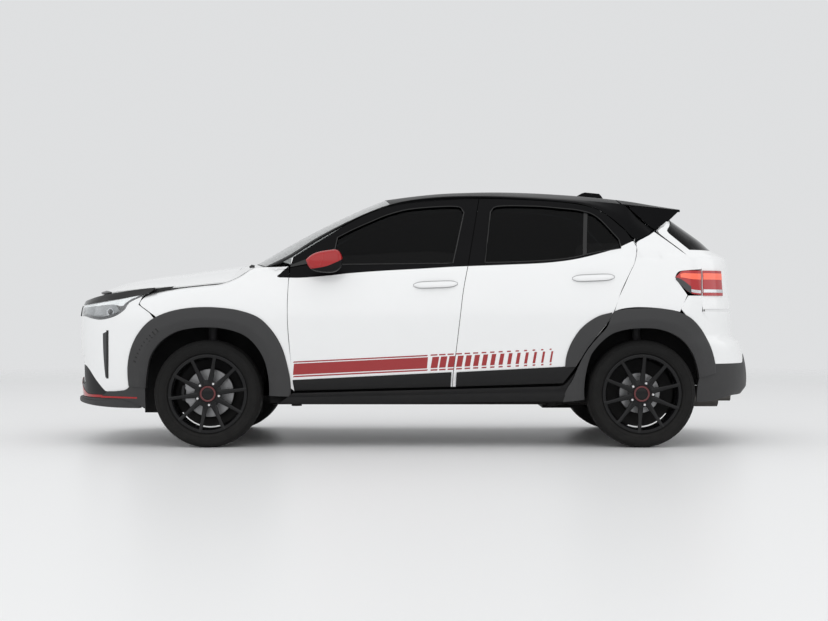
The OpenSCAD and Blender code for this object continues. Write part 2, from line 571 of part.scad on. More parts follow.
function bumper_rise(q, h) =
    ht(bumper_lift_share) * smooth((abs(q) - 0.8) / 0.15) * smooth((h - bumper_row_shares[2]) / 0.118);
function tail_block(rows, ends, lift = 0) = [for (k = [0:2 * tail_n]) [for (h = rows)
    let (q = tail_q(k), z = ht(h) + lift * bumper_rise(q, h))
    face_point(q, z, tail_from, tail_x(z), max(at(ends, z), tail_from + panel_gap))]];
gate_hole_rows = [6, 9];

// Roof underside at a place, for the posts and lugs that meet it
function rail_at(x) =
    let (t = [for (p = rail) [p[0], p[1]]], u = [for (p = rail) [p[0], p[2]]]) [-at(t, x), at(u, x)];
function roof_under(x, y) =
    let (e = rail_at(x)) lerp(at(roof_mid, x), e[1], power(abs(y) / e[0],
        crown_power)) - roof_thick - seat_gap;

// Body pieces
module roof() {
    color([0.03, 0.03, 0.03]) {
        cols = [for (i = [screen_n:rail_n]) i];
        grid = trimmed([for (i = cols) [for (s = across_share)
            let (e = rail[i], mid = at(roof_mid, e[0]),
                back = i == screen_n ? header_back * (1 - s * s) : 0)
            [e[0] - back, -s * e[1], lerp(mid, e[2], power(abs(s), crown_power))]]], seat_gap / 2);
        shell(grid, [for (c = grid) [for (p = c) p - [0, 0, roof_thick]]]);
        x_end = rail[rail_n][0];
        top = roof_under(x_end, lug_out);
        lug_end = x_end + panel_gap - seat_gap;
        both_sides() box([x_end - lug_long, -lug_out, top - lug_h], [lug_end, -lug_in, top]);
        aerial = [for (p = aerial_px) let (q = put(p, 0)) [q[0], min(q[1], at(roof_mid, q[0]) + aerial_h)]];
        hull() {
            translate([0, aerial_w / 2, 0]) rotate([90, 0, 0]) linear_extrude(aerial_w)
                polygon(concat([aerial[0], aerial[5]], [for (i = [5, 0]) aerial[i] - [0, roof_thick / 2]]));
            translate([0, aerial_w / 6, 0]) rotate([90, 0, 0]) linear_extrude(aerial_w / 3)
                polygon([for (i = [1:4]) aerial[i]]);
        }
    }
}

module roof_sides() {
    color([0.03, 0.03, 0.03]) both_sides() {
        cap_low = [for (p = cap_low_px) let (q = on_side(p)) [q[0], -side_y(q[0], q[1]), q[1]]];
        cap_top = [for (i = [0:len(cap_top_px) - 1])
            let (y = cap_y_shares[i] * half_w, p = put(cap_top_px[i], y)) [p[0], -y, p[1]]];
        lows = concat([for (p = rail_low) p + [0, 0, panel_gap / 2]], [for (i = [1:3]) cap_low[i]]);
        tops = concat(rail, [for (i = [1:3]) cap_top[i]]);
        grid = [for (i = [0:len(lows) - 1]) [for (v = [0, 0.5, 1])
            let (p = lerp(lows[i], tops[i], v)) p - [0, rail_bow * 4 * v * (1 - v), 0]]];
        out = trimmed(grid, seat_gap / 2);
        shell(out, [for (c = out) [for (j = [0:2]) c[j] + roof_thick * [0, cos(45 * j), -sin(45 * j)]]]);
    }
}

function screen_point(i, s) =
    let (v = i / screen_n, e = rail[i], top = rail[screen_n], x = lerp(st(cowl_x_share),
        top[0] - header_back, v),
        z = lerp(ht(cowl_z_share), at(roof_mid, top[0]), v) + screen_bow * 4 * v * (1 - v))
    [lerp(x, e[0], s * s), -s * e[1], lerp(z, e[2], power(abs(s), crown_power))];
module windscreen() {
    color([0.05, 0.06, 0.07]) {
        grid = trimmed([for (s = -1 * across_share) [for (i = [0:screen_n]) screen_point(i, s)]],
            seat_gap / 2);
        shell(grid, [for (c = grid) [for (p = c) p - [0, 0, glass_thick]]]);
    }
}
module cowl() {
    color([0.08, 0.08, 0.08]) {
        back = [for (s = across_share) screen_point(0, s) - [seat_gap / 2, 0, 0]];
        front = [for (s = across_share) cowl_front(s)];
        grid = [front, lerp(front, back, 0.5), back];
        shell(grid, [for (c = grid) [for (p = c) p - [0, 0, cowl_thick]]]);
    }
}

module wings() {
    color([0.9, 0.9, 0.9]) both_sides() {
        out = trimmed(wing_grid(), panel_gap / 2);
        shell(out, set_y(sunk(out, skin_thick, 0), 6, 7, 2, 3, -post_out - seat_gap));
    }
}

module quarter_panels() {
    color([0.9, 0.9, 0.9]) both_sides() {
        net = side_net([quarter_low_px, quarter_top_px], [4]);
        out = raised(drawn_in(net, panel_gap / 2), 0);
        inn = [for (c = out) [for (p = c) p + [0, skin_thick, 0]]];
        shell(out, set_y(inn, 3, 4, 1, 2, -post_out - seat_gap));
    }
}

// Plan normal of a nose or tail face, for walls that stay level
function face_normal(p, from, tip) =
    let (b = side_flat(from, p[2]), c = power(abs((from - p[0]) / (from - tip)), corner_power - 1),
        s = power(abs(p[1]) / b, corner_power - 1), v = [c / (tip - from), sign(p[1]) * s / b])
    [v[0], v[1], 0] / norm(v);
function nose_sunk(grid, t) = [for (c = grid) [for (p = c) p - t * face_normal(p, nose_from,
    nose_x(p[2]))]];
function tail_sunk(grid, t) = [for (c = grid) [for (p = c) p - t * face_normal(p, tail_from,
    tail_x(p[2]))]];

module front_bumper() {
    color([0.9, 0.9, 0.9]) {
        out = trimmed(nose_block(0, 2 * nose_n, 0, 6), seat_gap / 2);
        inn = set_x(nose_sunk(out, skin_thick), nose_n - 2, nose_n + 2, 4, 5, beam_front - seat_gap);
        shell(out, inn, [nose_n - 4, nose_n + 4, 1, 3]);
    }
}

module grille() {
    color([0.05, 0.05, 0.05]) {
        low = trimmed(nose_block(nose_n - 4, nose_n + 4, 1, 3), seat_gap);
        shell(nose_sunk(low, grille_set), nose_sunk(low, grille_set + skin_thick));
        mid = trimmed(nose_block(nose_n - 2, nose_n + 2, 6, 7), seat_gap / 2);
        shell(nose_sunk(mid, grille_set / 2), nose_sunk(mid, grille_set + skin_thick));
        brow = trimmed(nose_block(0, 2 * nose_n, 7, brow_row), seat_gap / 2);
        shell(brow, nose_sunk(brow, skin_thick));
    }
}

module headlamps() {
    color([0.7, 0.75, 0.8]) both_sides() {
        out = trimmed(nose_block(nose_n + 2, 2 * nose_n, 6, 7), seat_gap / 2);
        shell(out, nose_sunk(out, lamp_deep));
    }
}

module front_lip() {
    color([0.1, 0.1, 0.1]) {
        z_low = ht(nose_row_mid_shares[0]) - lip_h;
        z_top = ht(nose_row_mid_shares[0]) - seat_gap / 2;
        grid = [for (k = [0:2 * nose_n]) [for (v = [0, 0.4, 1])
            let (q = nose_q(k), z = lerp(z_low, z_top, v),
                edge = lip_out * (1 - abs(q)) * (v < 1 ? 1 : 0.3))
            face_point(q, z, nose_from, nose_x(z_top) - edge, nose_end_table[0][1])]];
        inn = [for (c = grid) [for (p = c) p - lip_deep * face_normal(p, nose_from, nose_x(z_top))]];
        shell(grid, inn);
    }
}

module rear_bumper() {
    color([0.9, 0.9, 0.9]) {
        out = trimmed(tail_block(bumper_row_shares, bumper_end, 1), seat_gap / 2);
        shell(out, set_x(tail_sunk(out, skin_thick), tail_n - 2, tail_n + 2, 1, 2, beam_rear + seat_gap));
    }
}

module rear_valance() {
    color([0.1, 0.1, 0.1]) {
        out = trimmed(tail_block(valance_row_shares, bumper_end), seat_gap / 2);
        shell(out, tail_sunk(out, skin_thick));
    }
}

module tail_lamps() {
    color([0.6, 0.05, 0.05]) both_sides() {
        net = side_net([lamp_low_px, lamp_top_px], [2]);
        out = raised(drawn_in(net, seat_gap / 2), 0);
        inn = [for (c = out) [for (p = c) p + [0, lamp_deep, 0]]];
        shell(out, set_y(inn, 1, 2, 1, 1, -lamp_seat - seat_gap));
    }
}

// Arch cladding: radii of the opening and of the outer edge by angle from the rear, in pixels from the hub
function arch_place(hub, r, a) = [hub[0] + r * cos(a), hub[1] + r * sin(a)];
module arch(hub, table, lip_r) {
    grid = [for (t = table)
        let (a = t[0], ri = t[1] * arch_px, re = t[2] * arch_px, rm = lip_r,
            pi = arch_place(hub, ri, a), pm = arch_place(hub, rm, a),
            pn = arch_place(hub, rm + seat_gap / 2, a), pe = arch_place(hub, re, a))
        [[pi[0], -side_y(pi[0], pi[1]) - clad_proud * arch_lip_share, pi[1]],
            [pm[0], -side_y(pm[0], pm[1]) - clad_proud, pm[1]],
            [pn[0], -side_y(pn[0], pn[1]) - clad_proud, pn[1]],
            [pe[0], -side_y(pe[0], pe[1]) - clad_proud / 2, pe[1]]]];
    inn = [for (t = table)
        let (a = t[0], ri = t[1] * arch_px, re = t[2] * arch_px, rm = lip_r,
            pi = arch_place(hub, ri, a), pm = arch_place(hub, rm, a),
            pn = arch_place(hub, rm + seat_gap / 2, a), pe = arch_place(hub, re, a))
        [[pi[0], lip_in - side_y(pi[0], pi[1]), pi[1]],
            [pm[0], lip_in - side_y(pm[0], pm[1]), pm[1]],
            [pn[0], -side_y(pn[0], pn[1]) - clad_off, pn[1]],
            [pe[0], -side_y(pe[0], pe[1]) - clad_off, pe[1]]]];
    shell(inn, grid);
}
module arch_cladding() {
    color([0.12, 0.12, 0.13]) both_sides() {
        arch([x_front, z_axle], front_arch_px, front_lip_r);
        arch([x_rear, z_axle], rear_arch_px, rear_lip_r);
    }
}

module sill_skirts() {
    color([0.1, 0.1, 0.1]) both_sides() {
        net = side_net([skirt_low_px, skirt_top_px], [2]);
        out = raised(net, clad_proud / 2);
        shell(out, [for (c = out) [for (p = c) [p[0], -sill_out - seat_gap, p[2]]]]);
    }
}

// Underbody: floor, tunnel, sills, posts, bulkhead, rails, beams, wheel housings and jacking pads
module box(lo, hi) {
    translate(lo) cube(hi - lo);
}
module housing(x, r) {
    translate([x, -housing_out, z_axle]) rotate([-90, 0, 0]) intersection() {
        difference() {
            cylinder(r = r + liner_thick, h = housing_deep);
            translate([0, 0, -cut_over]) cylinder(r = r, h = housing_deep + 2 * cut_over);
        }
        translate([-2 * r, -2 * r, -cut_over])
            cube([4 * r, (2 - housing_cut_share) * r, housing_deep + 2 * cut_over]);
    }
}
// Hinge leaf from a post to the front wall of a door, at a row of the door's outline
module hinge(px, r, y_in) {
    p = on_side(px[r][0]);
    q = on_side(px[r + 1][0]);
    y = side_y(p[0], p[1]);
    edge = min(p[0], lerp(p[0], q[0], hinge_h / (q[1] - p[1])));
    x = edge + panel_gap / 2 + hinge_deep * door_taper - 2 * seat_gap;
    box([x - hinge_w, hinge_deep * door_thick - y, p[1]], [x, -y_in + post_deep / 2, p[1] + hinge_h]);
}
module leaning_post(x0, x1) {
    mid = (x0 + x1) / 2;
    top = roof_under(mid, side_y(mid, ht(post_top_share)) - post_set);
    pts = [for (h = post_rows_share) let (z = lerp(ht(sill_top_share), top, h))
        [side_y((x0 + x1) / 2, z) - post_set, z]];
    translate([x1, 0, 0]) rotate([90, 0, -90]) linear_extrude(x1 - x0)
        polygon(concat(pts, [for (i = [len(pts) - 1:-1:0]) pts[i] - [post_deep, 0]]));
}
module underbody() {
    color([0.2, 0.2, 0.21]) {
        for (b = mid_boxes_shares)
            box([st(b[0]), -b[2] * half_w, ht(b[3])], [st(b[1]), b[2] * half_w, ht(b[4])]);
        both_sides() {
            for (b = side_boxes_shares)
                box([st(b[0]), -b[3] * half_w, ht(b[4])], [st(b[1]), -b[2] * half_w, ht(b[5])]);
            leaning_post(b_post[0], b_post[1]);
            hinge(front_door_px, hinge_row, post_out);
            b = on_side(rear_door_px[hinge_row][0]);
            hinge(rear_door_px, hinge_row, side_y(b[0], b[1]) - post_set);
            arm_x0 = bonnet_back - arm_back;
            box([arm_x0, -arm_y, arm_low], [arm_foot, -arm_y + hinge_w, arm_high]);
            box([arm_x0, -arm_y, arm_low], [bonnet_back - arm_long_back, -arm_y + hinge_w, arm_under]);
            housing(x_rear, rear_lip_r + 2 * seat_gap);
            housing(x_front, front_lip_r + 2 * seat_gap);
            for (s = jack_shares) translate([st(s), -(sill_out + sill_in) / 2, floor_z - jack_h])
                cylinder(d = jack_d, h = 2 * jack_h);
        }
    }
}

module engine() {
    color([0.35, 0.35, 0.36]) difference() {
        box([engine_x[0], -engine_w / 2, engine_z[0]], [engine_x[1], engine_w / 2, engine_z[1]]);
        mid = (engine_x[0] + engine_x[1]) / 2;
        for (s = [-1, 1]) translate([mid, s * engine_w / 2, engine_z[1]]) rotate([0, 45, 90])
            cube([engine_cut, wheelbase, engine_cut], center = true);
    }
}

// Running gear
module front_suspension() {
    color([0.15, 0.15, 0.15]) {
        sub_y = rail_y + rail_w;
        box([x_front - arm_w, -sub_y, subframe_z[0]], [x_front + 2 * arm_w, sub_y, subframe_z[1]]);
        both_sides() {
            box([x_front + arm_w, -sub_y, mount_z[0]], [x_front + 2 * arm_w, -rail_y, mount_z[1]]);
            box([x_front - arm_w / 3, -arm_end, arm_under_z], [x_front + arm_w / 3, -rail_y + arm_w,
                arm_top]);
            translate([x_front, -strut_y, strut_z]) cylinder(d = strut_d, h = strut_h);
            box([x_front - strut_d, -strut_y, perch_z[0]], [x_front + strut_d, -sub_y - seat_gap,
                perch_z[1]]);
        }
    }
}

module rear_axle() {
    color([0.15, 0.15, 0.15]) {
        translate([x_rear - beam_back, 0, z_axle]) rotate([90, 0, 0])
            cylinder(d = beam_d, h = 2 * spring_y, center = true);
        both_sides() {
            box([arm_x, -spring_y - stub_d, z_axle - stub_d / 2],
                [x_rear + stub_d, -spring_y, z_axle + stub_d / 2]);
            translate([x_rear, -spring_y, z_axle]) rotate([90, 0, 0])
                cylinder(d = stub_d, h = track / 2 + hub_face - spring_y);
            translate([x_rear, -spring_y - stub_d / 2, z_axle])
                cylinder(d = strut_d, h = spring_top - z_axle);
        }
    }
}

module exhaust() {
    color([0.55, 0.55, 0.55]) {
        translate([pipe_x[0], 0, pipe_z]) rotate([0, 90, 0]) cylinder(d = pipe_d,
            h = pipe_x[1] - pipe_x[0]);
        translate([pipe_x[1], 0, pipe_z]) sphere(d = pipe_d);
        translate([pipe_x[1], 0, pipe_z]) cylinder(d = pipe_d, h = tail_z - pipe_z);
        translate([pipe_x[1], 0, tail_z]) sphere(d = pipe_d);
        translate([pipe_x[1], 0, tail_z]) rotate([90, 0, 0]) cylinder(d = pipe_d, h = tip_y);
        translate([pipe_x[1], -tip_y, tail_z]) sphere(d = pipe_d);
        translate([pipe_x[1], -tip_y, tail_z]) rotate([0, 90, 0])
            cylinder(d = tip_d, h = pipe_x[4] - pipe_x[1]);
        translate([pipe_x[2], -tip_y, tail_z]) rotate([0, 90, 0])
            cylinder(d = silencer_d, h = pipe_x[3] - pipe_x[2]);
    }
}

module fuel_tank() {
    color([0.12, 0.12, 0.12])
        box([tank_x[0], tunnel_w / 2, floor_z - tank_h], [tank_x[1], sill_in * 0.8, floor_z - seat_gap]);
}

// Cabin
module dashboard() {
    color([0.08, 0.08, 0.08]) {
        translate([0, dash_w / 2, 0]) rotate([90, 0, 0]) linear_extrude(dash_w)
            polygon([for (p = dash_shares) [st(p[0]), ht(p[1])]]);
        translate([wheel_x, -wheel_y, wheel_z]) rotate([0, wheel_lean, 0]) {
            rotate_extrude() translate([wheel_d / 2, 0]) circle(d = grip_d, $fn = 24);
            cylinder(d = grip_d * 3, h = grip_d, center = true);
            cube([wheel_d, grip_d, grip_d / 2], center = true);
            translate([0, 0, -wheel_d / 2]) cylinder(d = grip_d, h = wheel_d / 2);
        }
    }
}

module seat(w) {
    translate([0, w / 2, 0]) rotate([90, 0, 0]) linear_extrude(w) offset(seat_round) offset(-seat_round)
        polygon(seat_long * seat_shares);
}
module front_seats() {
    color([0.1, 0.1, 0.11]) for (s = [-1, 1])
        translate([front_seat_x, s * wheel_y, floor_z + floor_thick + seat_gap]) seat(seat_w);
}
module rear_seat() {
    color([0.1, 0.1, 0.11]) translate([rear_seat_x, 0, floor_z + tunnel_h + seat_gap]) seat(bench_w);
}

// Opening panels
module bonnet() {
    color([0.9, 0.9, 0.9]) sheet(bonnet_grid, skin_thick, 0);
}

function gate_grid() = trimmed(tail_block(gate_row_shares, gate_end), panel_gap / 2);
module tailgate() {
    color([0.9, 0.9, 0.9]) {
        out = gate_grid();
        shell(out, tail_sunk(out, gate_thick), [2, 2 * tail_n - 2, gate_hole_rows[0], gate_hole_rows[1]]);
    }
}
module tailgate_glass() {
    color([0.05, 0.06, 0.07]) {
        out = gate_grid();
        cut = [for (i = [2:2 * tail_n - 2]) [for (j = [gate_hole_rows[0]:gate_hole_rows[1]]) out[i][j]]];
        grid = trimmed(cut, seat_gap, 8 * seat_gap);
        shell(tail_sunk(grid, glass_thick), tail_sunk(grid, 2 * glass_thick));
    }
}
module gate_lamps() {
    color([0.6, 0.05, 0.05]) {
        out = gate_grid();
        for (k = [0, 2 * tail_n - 2]) {
            grid = trimmed([for (i = [k:k + 2]) [for (j = [1:3]) out[i][j]]], panel_gap);
            shell(tail_sunk(grid, -lamp_proud), tail_sunk(grid, -seat_gap));
        }
    }
}
module spoiler() {
    color([0.03, 0.03, 0.03]) {
        x0 = rail[rail_n][0] + panel_gap;
        w = -rail[rail_n][1];
        grid = [for (v = [0, 0.35, 0.7, 1]) [for (s = across_share)
            let (x = lerp(x0, spoiler_tip, v), e = lerp(rail[rail_n][2], spoiler_z, v),
                mid = at(roof_mid, x))
            [x, s * w, lerp(mid, e, power(abs(s), crown_power))]]];
        inn = [for (i = [0:3]) [for (p = grid[i]) p - [0, 0, lerp(frame_thick, skin_thick, i / 3)]]];
        shell(grid, inn);
        fin = [for (i = [0:len(fin_low_px) - 1])
            let (lo = put(fin_low_px[i], fin_low_shares[i] * half_w), up = put(fin_top_px[i],
                w + skin_thick / 2))
            [[lo[0], -fin_low_shares[i] * half_w, lo[1]], [up[0], -w - skin_thick / 2, up[1]]]];
        both_sides() shell(fin, [for (c = fin) [for (p = c) p + [0, 2 * skin_thick, 0]]]);
        top = gate_grid()[tail_n][len(gate_row_shares) - 1];
        both_sides() box([top[0] - gate_thick * 0.9, -lug_out, top[2] + seat_gap],
            [top[0] - gate_thick / 3, -lug_in, at(roof_mid, top[0]) - skin_thick]);
    }
}

function door_grid(px, steps) = raised(drawn_in(side_net(px, steps), panel_gap / 2), 0);
module door(px, steps, hole) {
    net = drawn_in(side_net(px, steps), panel_gap / 2);
    shell(raised(net, 0), sunk_door(drawn_in(net, door_taper)), hole);
}
module pane(px, steps, hole) {
    net = drawn_in(side_net(px, steps), panel_gap / 2);
    cut = [for (i = [hole[0]:hole[1]]) [for (j = [hole[2]:hole[3]]) net[i][j]]];
    in = drawn_in(cut, seat_gap);
    out = raised(in, -glass_set);
    shell(out, [for (c = out) [for (p = c) p + [0, glass_thick, 0]]]);
}
function clad_shift(grid, out) = [for (c = grid) [for (p = c) p - [0, out, 0]]];
module door_clad(px) {
    out = door_grid(px, door_steps);
    low = [for (c = out) [for (j = [0:clad_row]) c[j]]];
    shell(clad_shift(low, clad_proud * door_clad_share), clad_shift(low, seat_gap));
}
module door_arch() {
    net = [for (i = [len(door_arch_in_px) - 1:-1:0])
        [for (v = [0, 0.5, 1]) lerp(on_side(door_arch_in_px[i]), on_side(door_arch_out_px[i]), v)]];
    out = raised(net, 0);
    shell(clad_shift(out, clad_proud * door_clad_share), clad_shift(out, seat_gap));
}
module mirror_head() {
    out = door_grid(front_door_px, door_steps);
    foot = [for (i = [0:1]) [for (j = [6:7]) out[i][j]]];
    shell([for (c = foot) [for (p = c) p - [0, mirror_foot, 0]]],
        [for (c = foot) [for (p = c) p - [0, seat_gap, 0]]]);
    hull() for (p = mirror_px) {
        q = put(p, mirror_y);
        translate([q[0], -mirror_y, q[1]]) sphere(d = mirror_deep, $fn = 16);
    }
    hull() {
        a = on_side(mirror_arm_px);
        b = put(mirror_arm_px, mirror_y);
        translate([a[0], -side_y(a[0], a[1]) - mirror_foot, a[1]]) sphere(d = mirror_foot, $fn = 16);
        translate([b[0], -mirror_y, b[1]]) sphere(d = mirror_foot, $fn = 16);
    }
}

module front_door_left() { color([0.9, 0.9, 0.9]) door(front_door_px, door_steps, door_hole); }
module front_door_right() { side(1) front_door_left(); }
module rear_door_left() { color([0.9, 0.9, 0.9]) door(rear_door_px, door_steps, door_hole); }
module rear_door_right() { side(1) rear_door_left(); }
module front_glass_left() { color([0.05, 0.06, 0.07]) pane(front_door_px, door_steps, door_hole); }
module front_glass_right() { side(1) front_glass_left(); }
module rear_glass_left() { color([0.05, 0.06, 0.07]) pane(rear_door_px, door_steps, door_hole); }
module rear_glass_right() { side(1) rear_glass_left(); }
module front_door_clad_left() { color([0.12, 0.12, 0.13]) door_clad(front_door_px); }
module front_door_clad_right() { side(1) front_door_clad_left(); }
module rear_door_clad_left() {
    color([0.12, 0.12, 0.13]) {
        door_clad(rear_door_px);
        door_arch();
    }
}
module rear_door_clad_right() { side(1) rear_door_clad_left(); }
module mirror_left() { color([0.6, 0.05, 0.05]) mirror_head(); }
module mirror_right() { side(1) mirror_left(); }

// Wheels: the hub turns on a stub axle; the rim, hub and brake rotor are one solid
module rim_profile() {
    r = rim_d / 2;
    w = rim_half;
    polygon([[r - rim_wall, -w], [r + rim_lip, -w], [r + rim_lip, -w + rim_wall], [r, -w + 2 * rim_wall],
        [r, w - 2 * rim_wall], [r + rim_lip, w - rim_wall], [r + rim_lip, w], [r - rim_wall, w],
        [r - rim_wall, w - 3 * rim_wall], [r - 2 * rim_wall, 0], [r - rim_wall, -w + 3 * rim_wall]]);
}
module wheel(rotor_d, rotor_w) {
    w = rim_half;
    difference() {
        union() {
            rotate_extrude($fn = 72) rim_profile();
            translate([0, 0, -w + rim_wall]) cylinder(d = hub_d, h = hub_h);
            for (i = [1:spoke_n]) rotate(360 / spoke_n * i) translate([0, spoke_w / 2, 0]) rotate([90,
                0, 0])
                linear_extrude(spoke_w) polygon([[hub_d / 3, -w + 2 * rim_wall],
                    [rim_d / 2 - rim_wall / 2, -w + rim_wall / 2],
                    [rim_d / 2 - rim_wall / 2, -w + 4 * rim_wall], [hub_d / 3, -w + 6 * rim_wall]]);
            translate([0, 0, rotor_set]) cylinder(d = rotor_d, h = rotor_w);
            translate([0, 0, -w + rim_wall]) cylinder(d = hub_d * 0.8, h = rotor_set + w);
        }
        translate([0, 0, -w + 3 * rim_wall]) cylinder(d = stub_d + 2 * stub_clear, h = tyre_w);
    }
}
module place_wheel(x, s) {
    translate([x, s * track / 2, z_axle]) rotate([90 * (s < 0 ? -1 : 1), 0, 0]) children();
}
module rim_front_left() { color([0.05, 0.05, 0.05]) place_wheel(x_front, -1) wheel(disc_d, disc_w); }
module rim_front_right() { color([0.05, 0.05, 0.05]) place_wheel(x_front, 1) wheel(disc_d, disc_w); }
module rim_rear_left() { color([0.05, 0.05, 0.05]) place_wheel(x_rear, -1) wheel(drum_d, drum_w); }
module rim_rear_right() { color([0.05, 0.05, 0.05]) place_wheel(x_rear, 1) wheel(drum_d, drum_w); }

module tyre() {
    r = rim_d / 2;
    r1 = tyre_d / 2;
    w = tyre_w / 2;
    wr = rim_half - rim_wall;
    half = [[r + seat_gap, wr - rim_wall - bead_gap], [r + rim_lip + seat_gap, wr - bead_gap],
        [r + rim_lip + rim_wall / 2, wr], [r + rim_lip + rim_wall, w * 0.97], [lerp(r, r1, 0.5), w],
        [lerp(r, r1, 0.75), w * 0.97], [lerp(r, r1, 0.92), w * 0.87], [r1, w * 0.7]];
    n = len(half);
    rotate_extrude($fn = 72) polygon(concat([for (p = half) [p[0], -p[1]]],
        [for (i = [n - 1:-1:0]) half[i]]));
}
module tyre_front_left() { color([0.04, 0.04, 0.04]) place_wheel(x_front, -1) tyre(); }
module tyre_front_right() { color([0.04, 0.04, 0.04]) place_wheel(x_front, 1) tyre(); }
module tyre_rear_left() { color([0.04, 0.04, 0.04]) place_wheel(x_rear, -1) tyre(); }
module tyre_rear_right() { color([0.04, 0.04, 0.04]) place_wheel(x_rear, 1) tyre(); }

// Front knuckle: stub axle, upright and brake caliper, turning about an upright axis
module knuckle() {
    translate([x_front, -ball_y, z_axle]) rotate([90, 0, 0])
        cylinder(d = stub_d, h = track / 2 + hub_face - ball_y);
    foot_z = arm_top + seat_gap;
    back_y = stub_d / 2 - ball_y;
    box([x_front - stub_d, -ball_y, foot_z], [x_front + stub_d, back_y, z_axle + 2 * stub_d]);
    box([x_front - stub_d / 2, -ball_y, foot_z], [x_front + stub_d / 2, -foot_in, arm_top + stub_d / 2]);
    box([x_front - (disc_d + stub_d) / 2, -ball_y, z_axle - stub_d], [x_front, back_y, z_axle + stub_d]);
    translate([x_front, -ball_y - caliper_w, z_axle]) rotate([-90, 0, 0]) intersection() {
        difference() {
            cylinder(d = disc_d + stub_d, h = caliper_w + stub_d / 2);
            translate([0, 0, -cut_over]) cylinder(d = disc_d + 2 * panel_gap, h = caliper_w + stub_d);
        }
        translate([-disc_d, -stub_d, -cut_over]) cube([disc_d, 2 * stub_d, caliper_w + stub_d]);
    }
}
module knuckle_left() { color([0.3, 0.3, 0.3]) knuckle(); }
module knuckle_right() { side(1) knuckle_left(); }

underbody();
roof();
roof_sides();
quarter_panels();
wings();
windscreen();
cowl();
front_bumper();
grille();
headlamps();
front_lip();
rear_bumper();
rear_valance();
tail_lamps();
arch_cladding();
sill_skirts();
engine();
front_suspension();
rear_axle();
exhaust();
fuel_tank();
dashboard();
front_seats();
rear_seat();
bonnet();
tailgate();
tailgate_glass();
gate_lamps();
spoiler();
front_door_left();
front_door_right();
rear_door_left();
rear_door_right();
front_glass_left();
front_glass_right();
rear_glass_left();
rear_glass_right();
front_door_clad_left();
front_door_clad_right();
rear_door_clad_left();
rear_door_clad_right();
mirror_left();
mirror_right();
knuckle_left();
knuckle_right();
rim_front_left();
rim_front_right();
rim_rear_left();
rim_rear_right();
tyre_front_left();
tyre_front_right();
tyre_rear_left();
tyre_rear_right();
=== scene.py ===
"""Compact crossover: white body, black roof, dark cladding, red stripes and ten-spoke wheels."""
import math

import bpy
import numpy as np
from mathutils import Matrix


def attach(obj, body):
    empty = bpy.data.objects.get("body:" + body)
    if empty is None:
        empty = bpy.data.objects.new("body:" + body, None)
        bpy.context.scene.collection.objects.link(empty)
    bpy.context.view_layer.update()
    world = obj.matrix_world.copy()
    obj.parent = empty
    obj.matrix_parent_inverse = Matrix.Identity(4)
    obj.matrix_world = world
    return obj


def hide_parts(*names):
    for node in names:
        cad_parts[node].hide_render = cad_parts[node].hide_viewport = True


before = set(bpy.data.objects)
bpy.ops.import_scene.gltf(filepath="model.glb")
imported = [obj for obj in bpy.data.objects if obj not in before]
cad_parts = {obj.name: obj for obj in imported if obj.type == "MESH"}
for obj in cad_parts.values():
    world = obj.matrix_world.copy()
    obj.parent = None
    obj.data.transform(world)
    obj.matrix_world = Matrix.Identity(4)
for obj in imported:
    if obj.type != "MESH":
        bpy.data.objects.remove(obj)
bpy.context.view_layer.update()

# ---------------------------------------------------------------- sizes, in millimetres
WHEELBASE, NOSE_OUT, TAIL_OUT, WIDTH, ROOF = 2532.0, 865.0, 718.0, 1777.0, 1528.0
GAP, SHUT, SEAT, SKIN, DOOR, FRAME, GLASS, PROUD = 6.0, 1.7, 0.4, 14.0, 84.0, 40.0, 5.0, 16.0
TYRE_D, TYRE_W, RIM_D, TRACK = 626.0, 215.0, 432.0, 1510.0
X_NOSE = -(NOSE_OUT + WHEELBASE + TAIL_OUT) / 2
X_FRONT = X_NOSE + NOSE_OUT
X_REAR = X_FRONT + WHEELBASE
Z_AXLE = TYRE_D / 2
HALF = WIDTH / 2
HUB_PX, HORIZON_PX, AXIS_PX, TALL_PX = (208.0, 641.6), 310.5, 414.0, 261.7
EYE_AWAY, EYE_UP = 6.69 * ROOF, 0.523 * ROOF
HUB_AWAY = EYE_AWAY - 0.54 * ROOF
X_AXIS = X_FRONT + (AXIS_PX - HUB_PX[0]) / (HUB_PX[1] - HUB_PX[0]) * WHEELBASE
PX = WHEELBASE / (HUB_PX[1] - HUB_PX[0])


# ---------------------------------------------------------------- curves and the body side
def lerp(a, b, t):
    return a + (b - a) * t


def inward(d):
    """Step from the left side towards the car's middle."""
    return np.array([0.0, d, 0.0])


def upward(d):
    return np.array([0.0, 0.0, d])


def smooth(t):
    c = min(max(t, 0.0), 1.0)
    return c * c * (3 - 2 * c)


def st(s):
    """Place along the car: -1 is the nose, 0 and 1 are the axles, 2 is the tail."""
    if s < 0:
        return X_FRONT + s * NOSE_OUT
    return X_FRONT + s * WHEELBASE if s <= 1 else X_REAR + (s - 1) * TAIL_OUT


def ht(h):
    """Height as a share of the roof's."""
    return h * ROOF


def power(v, e):
    return v ** e if v > 0 else 0.0


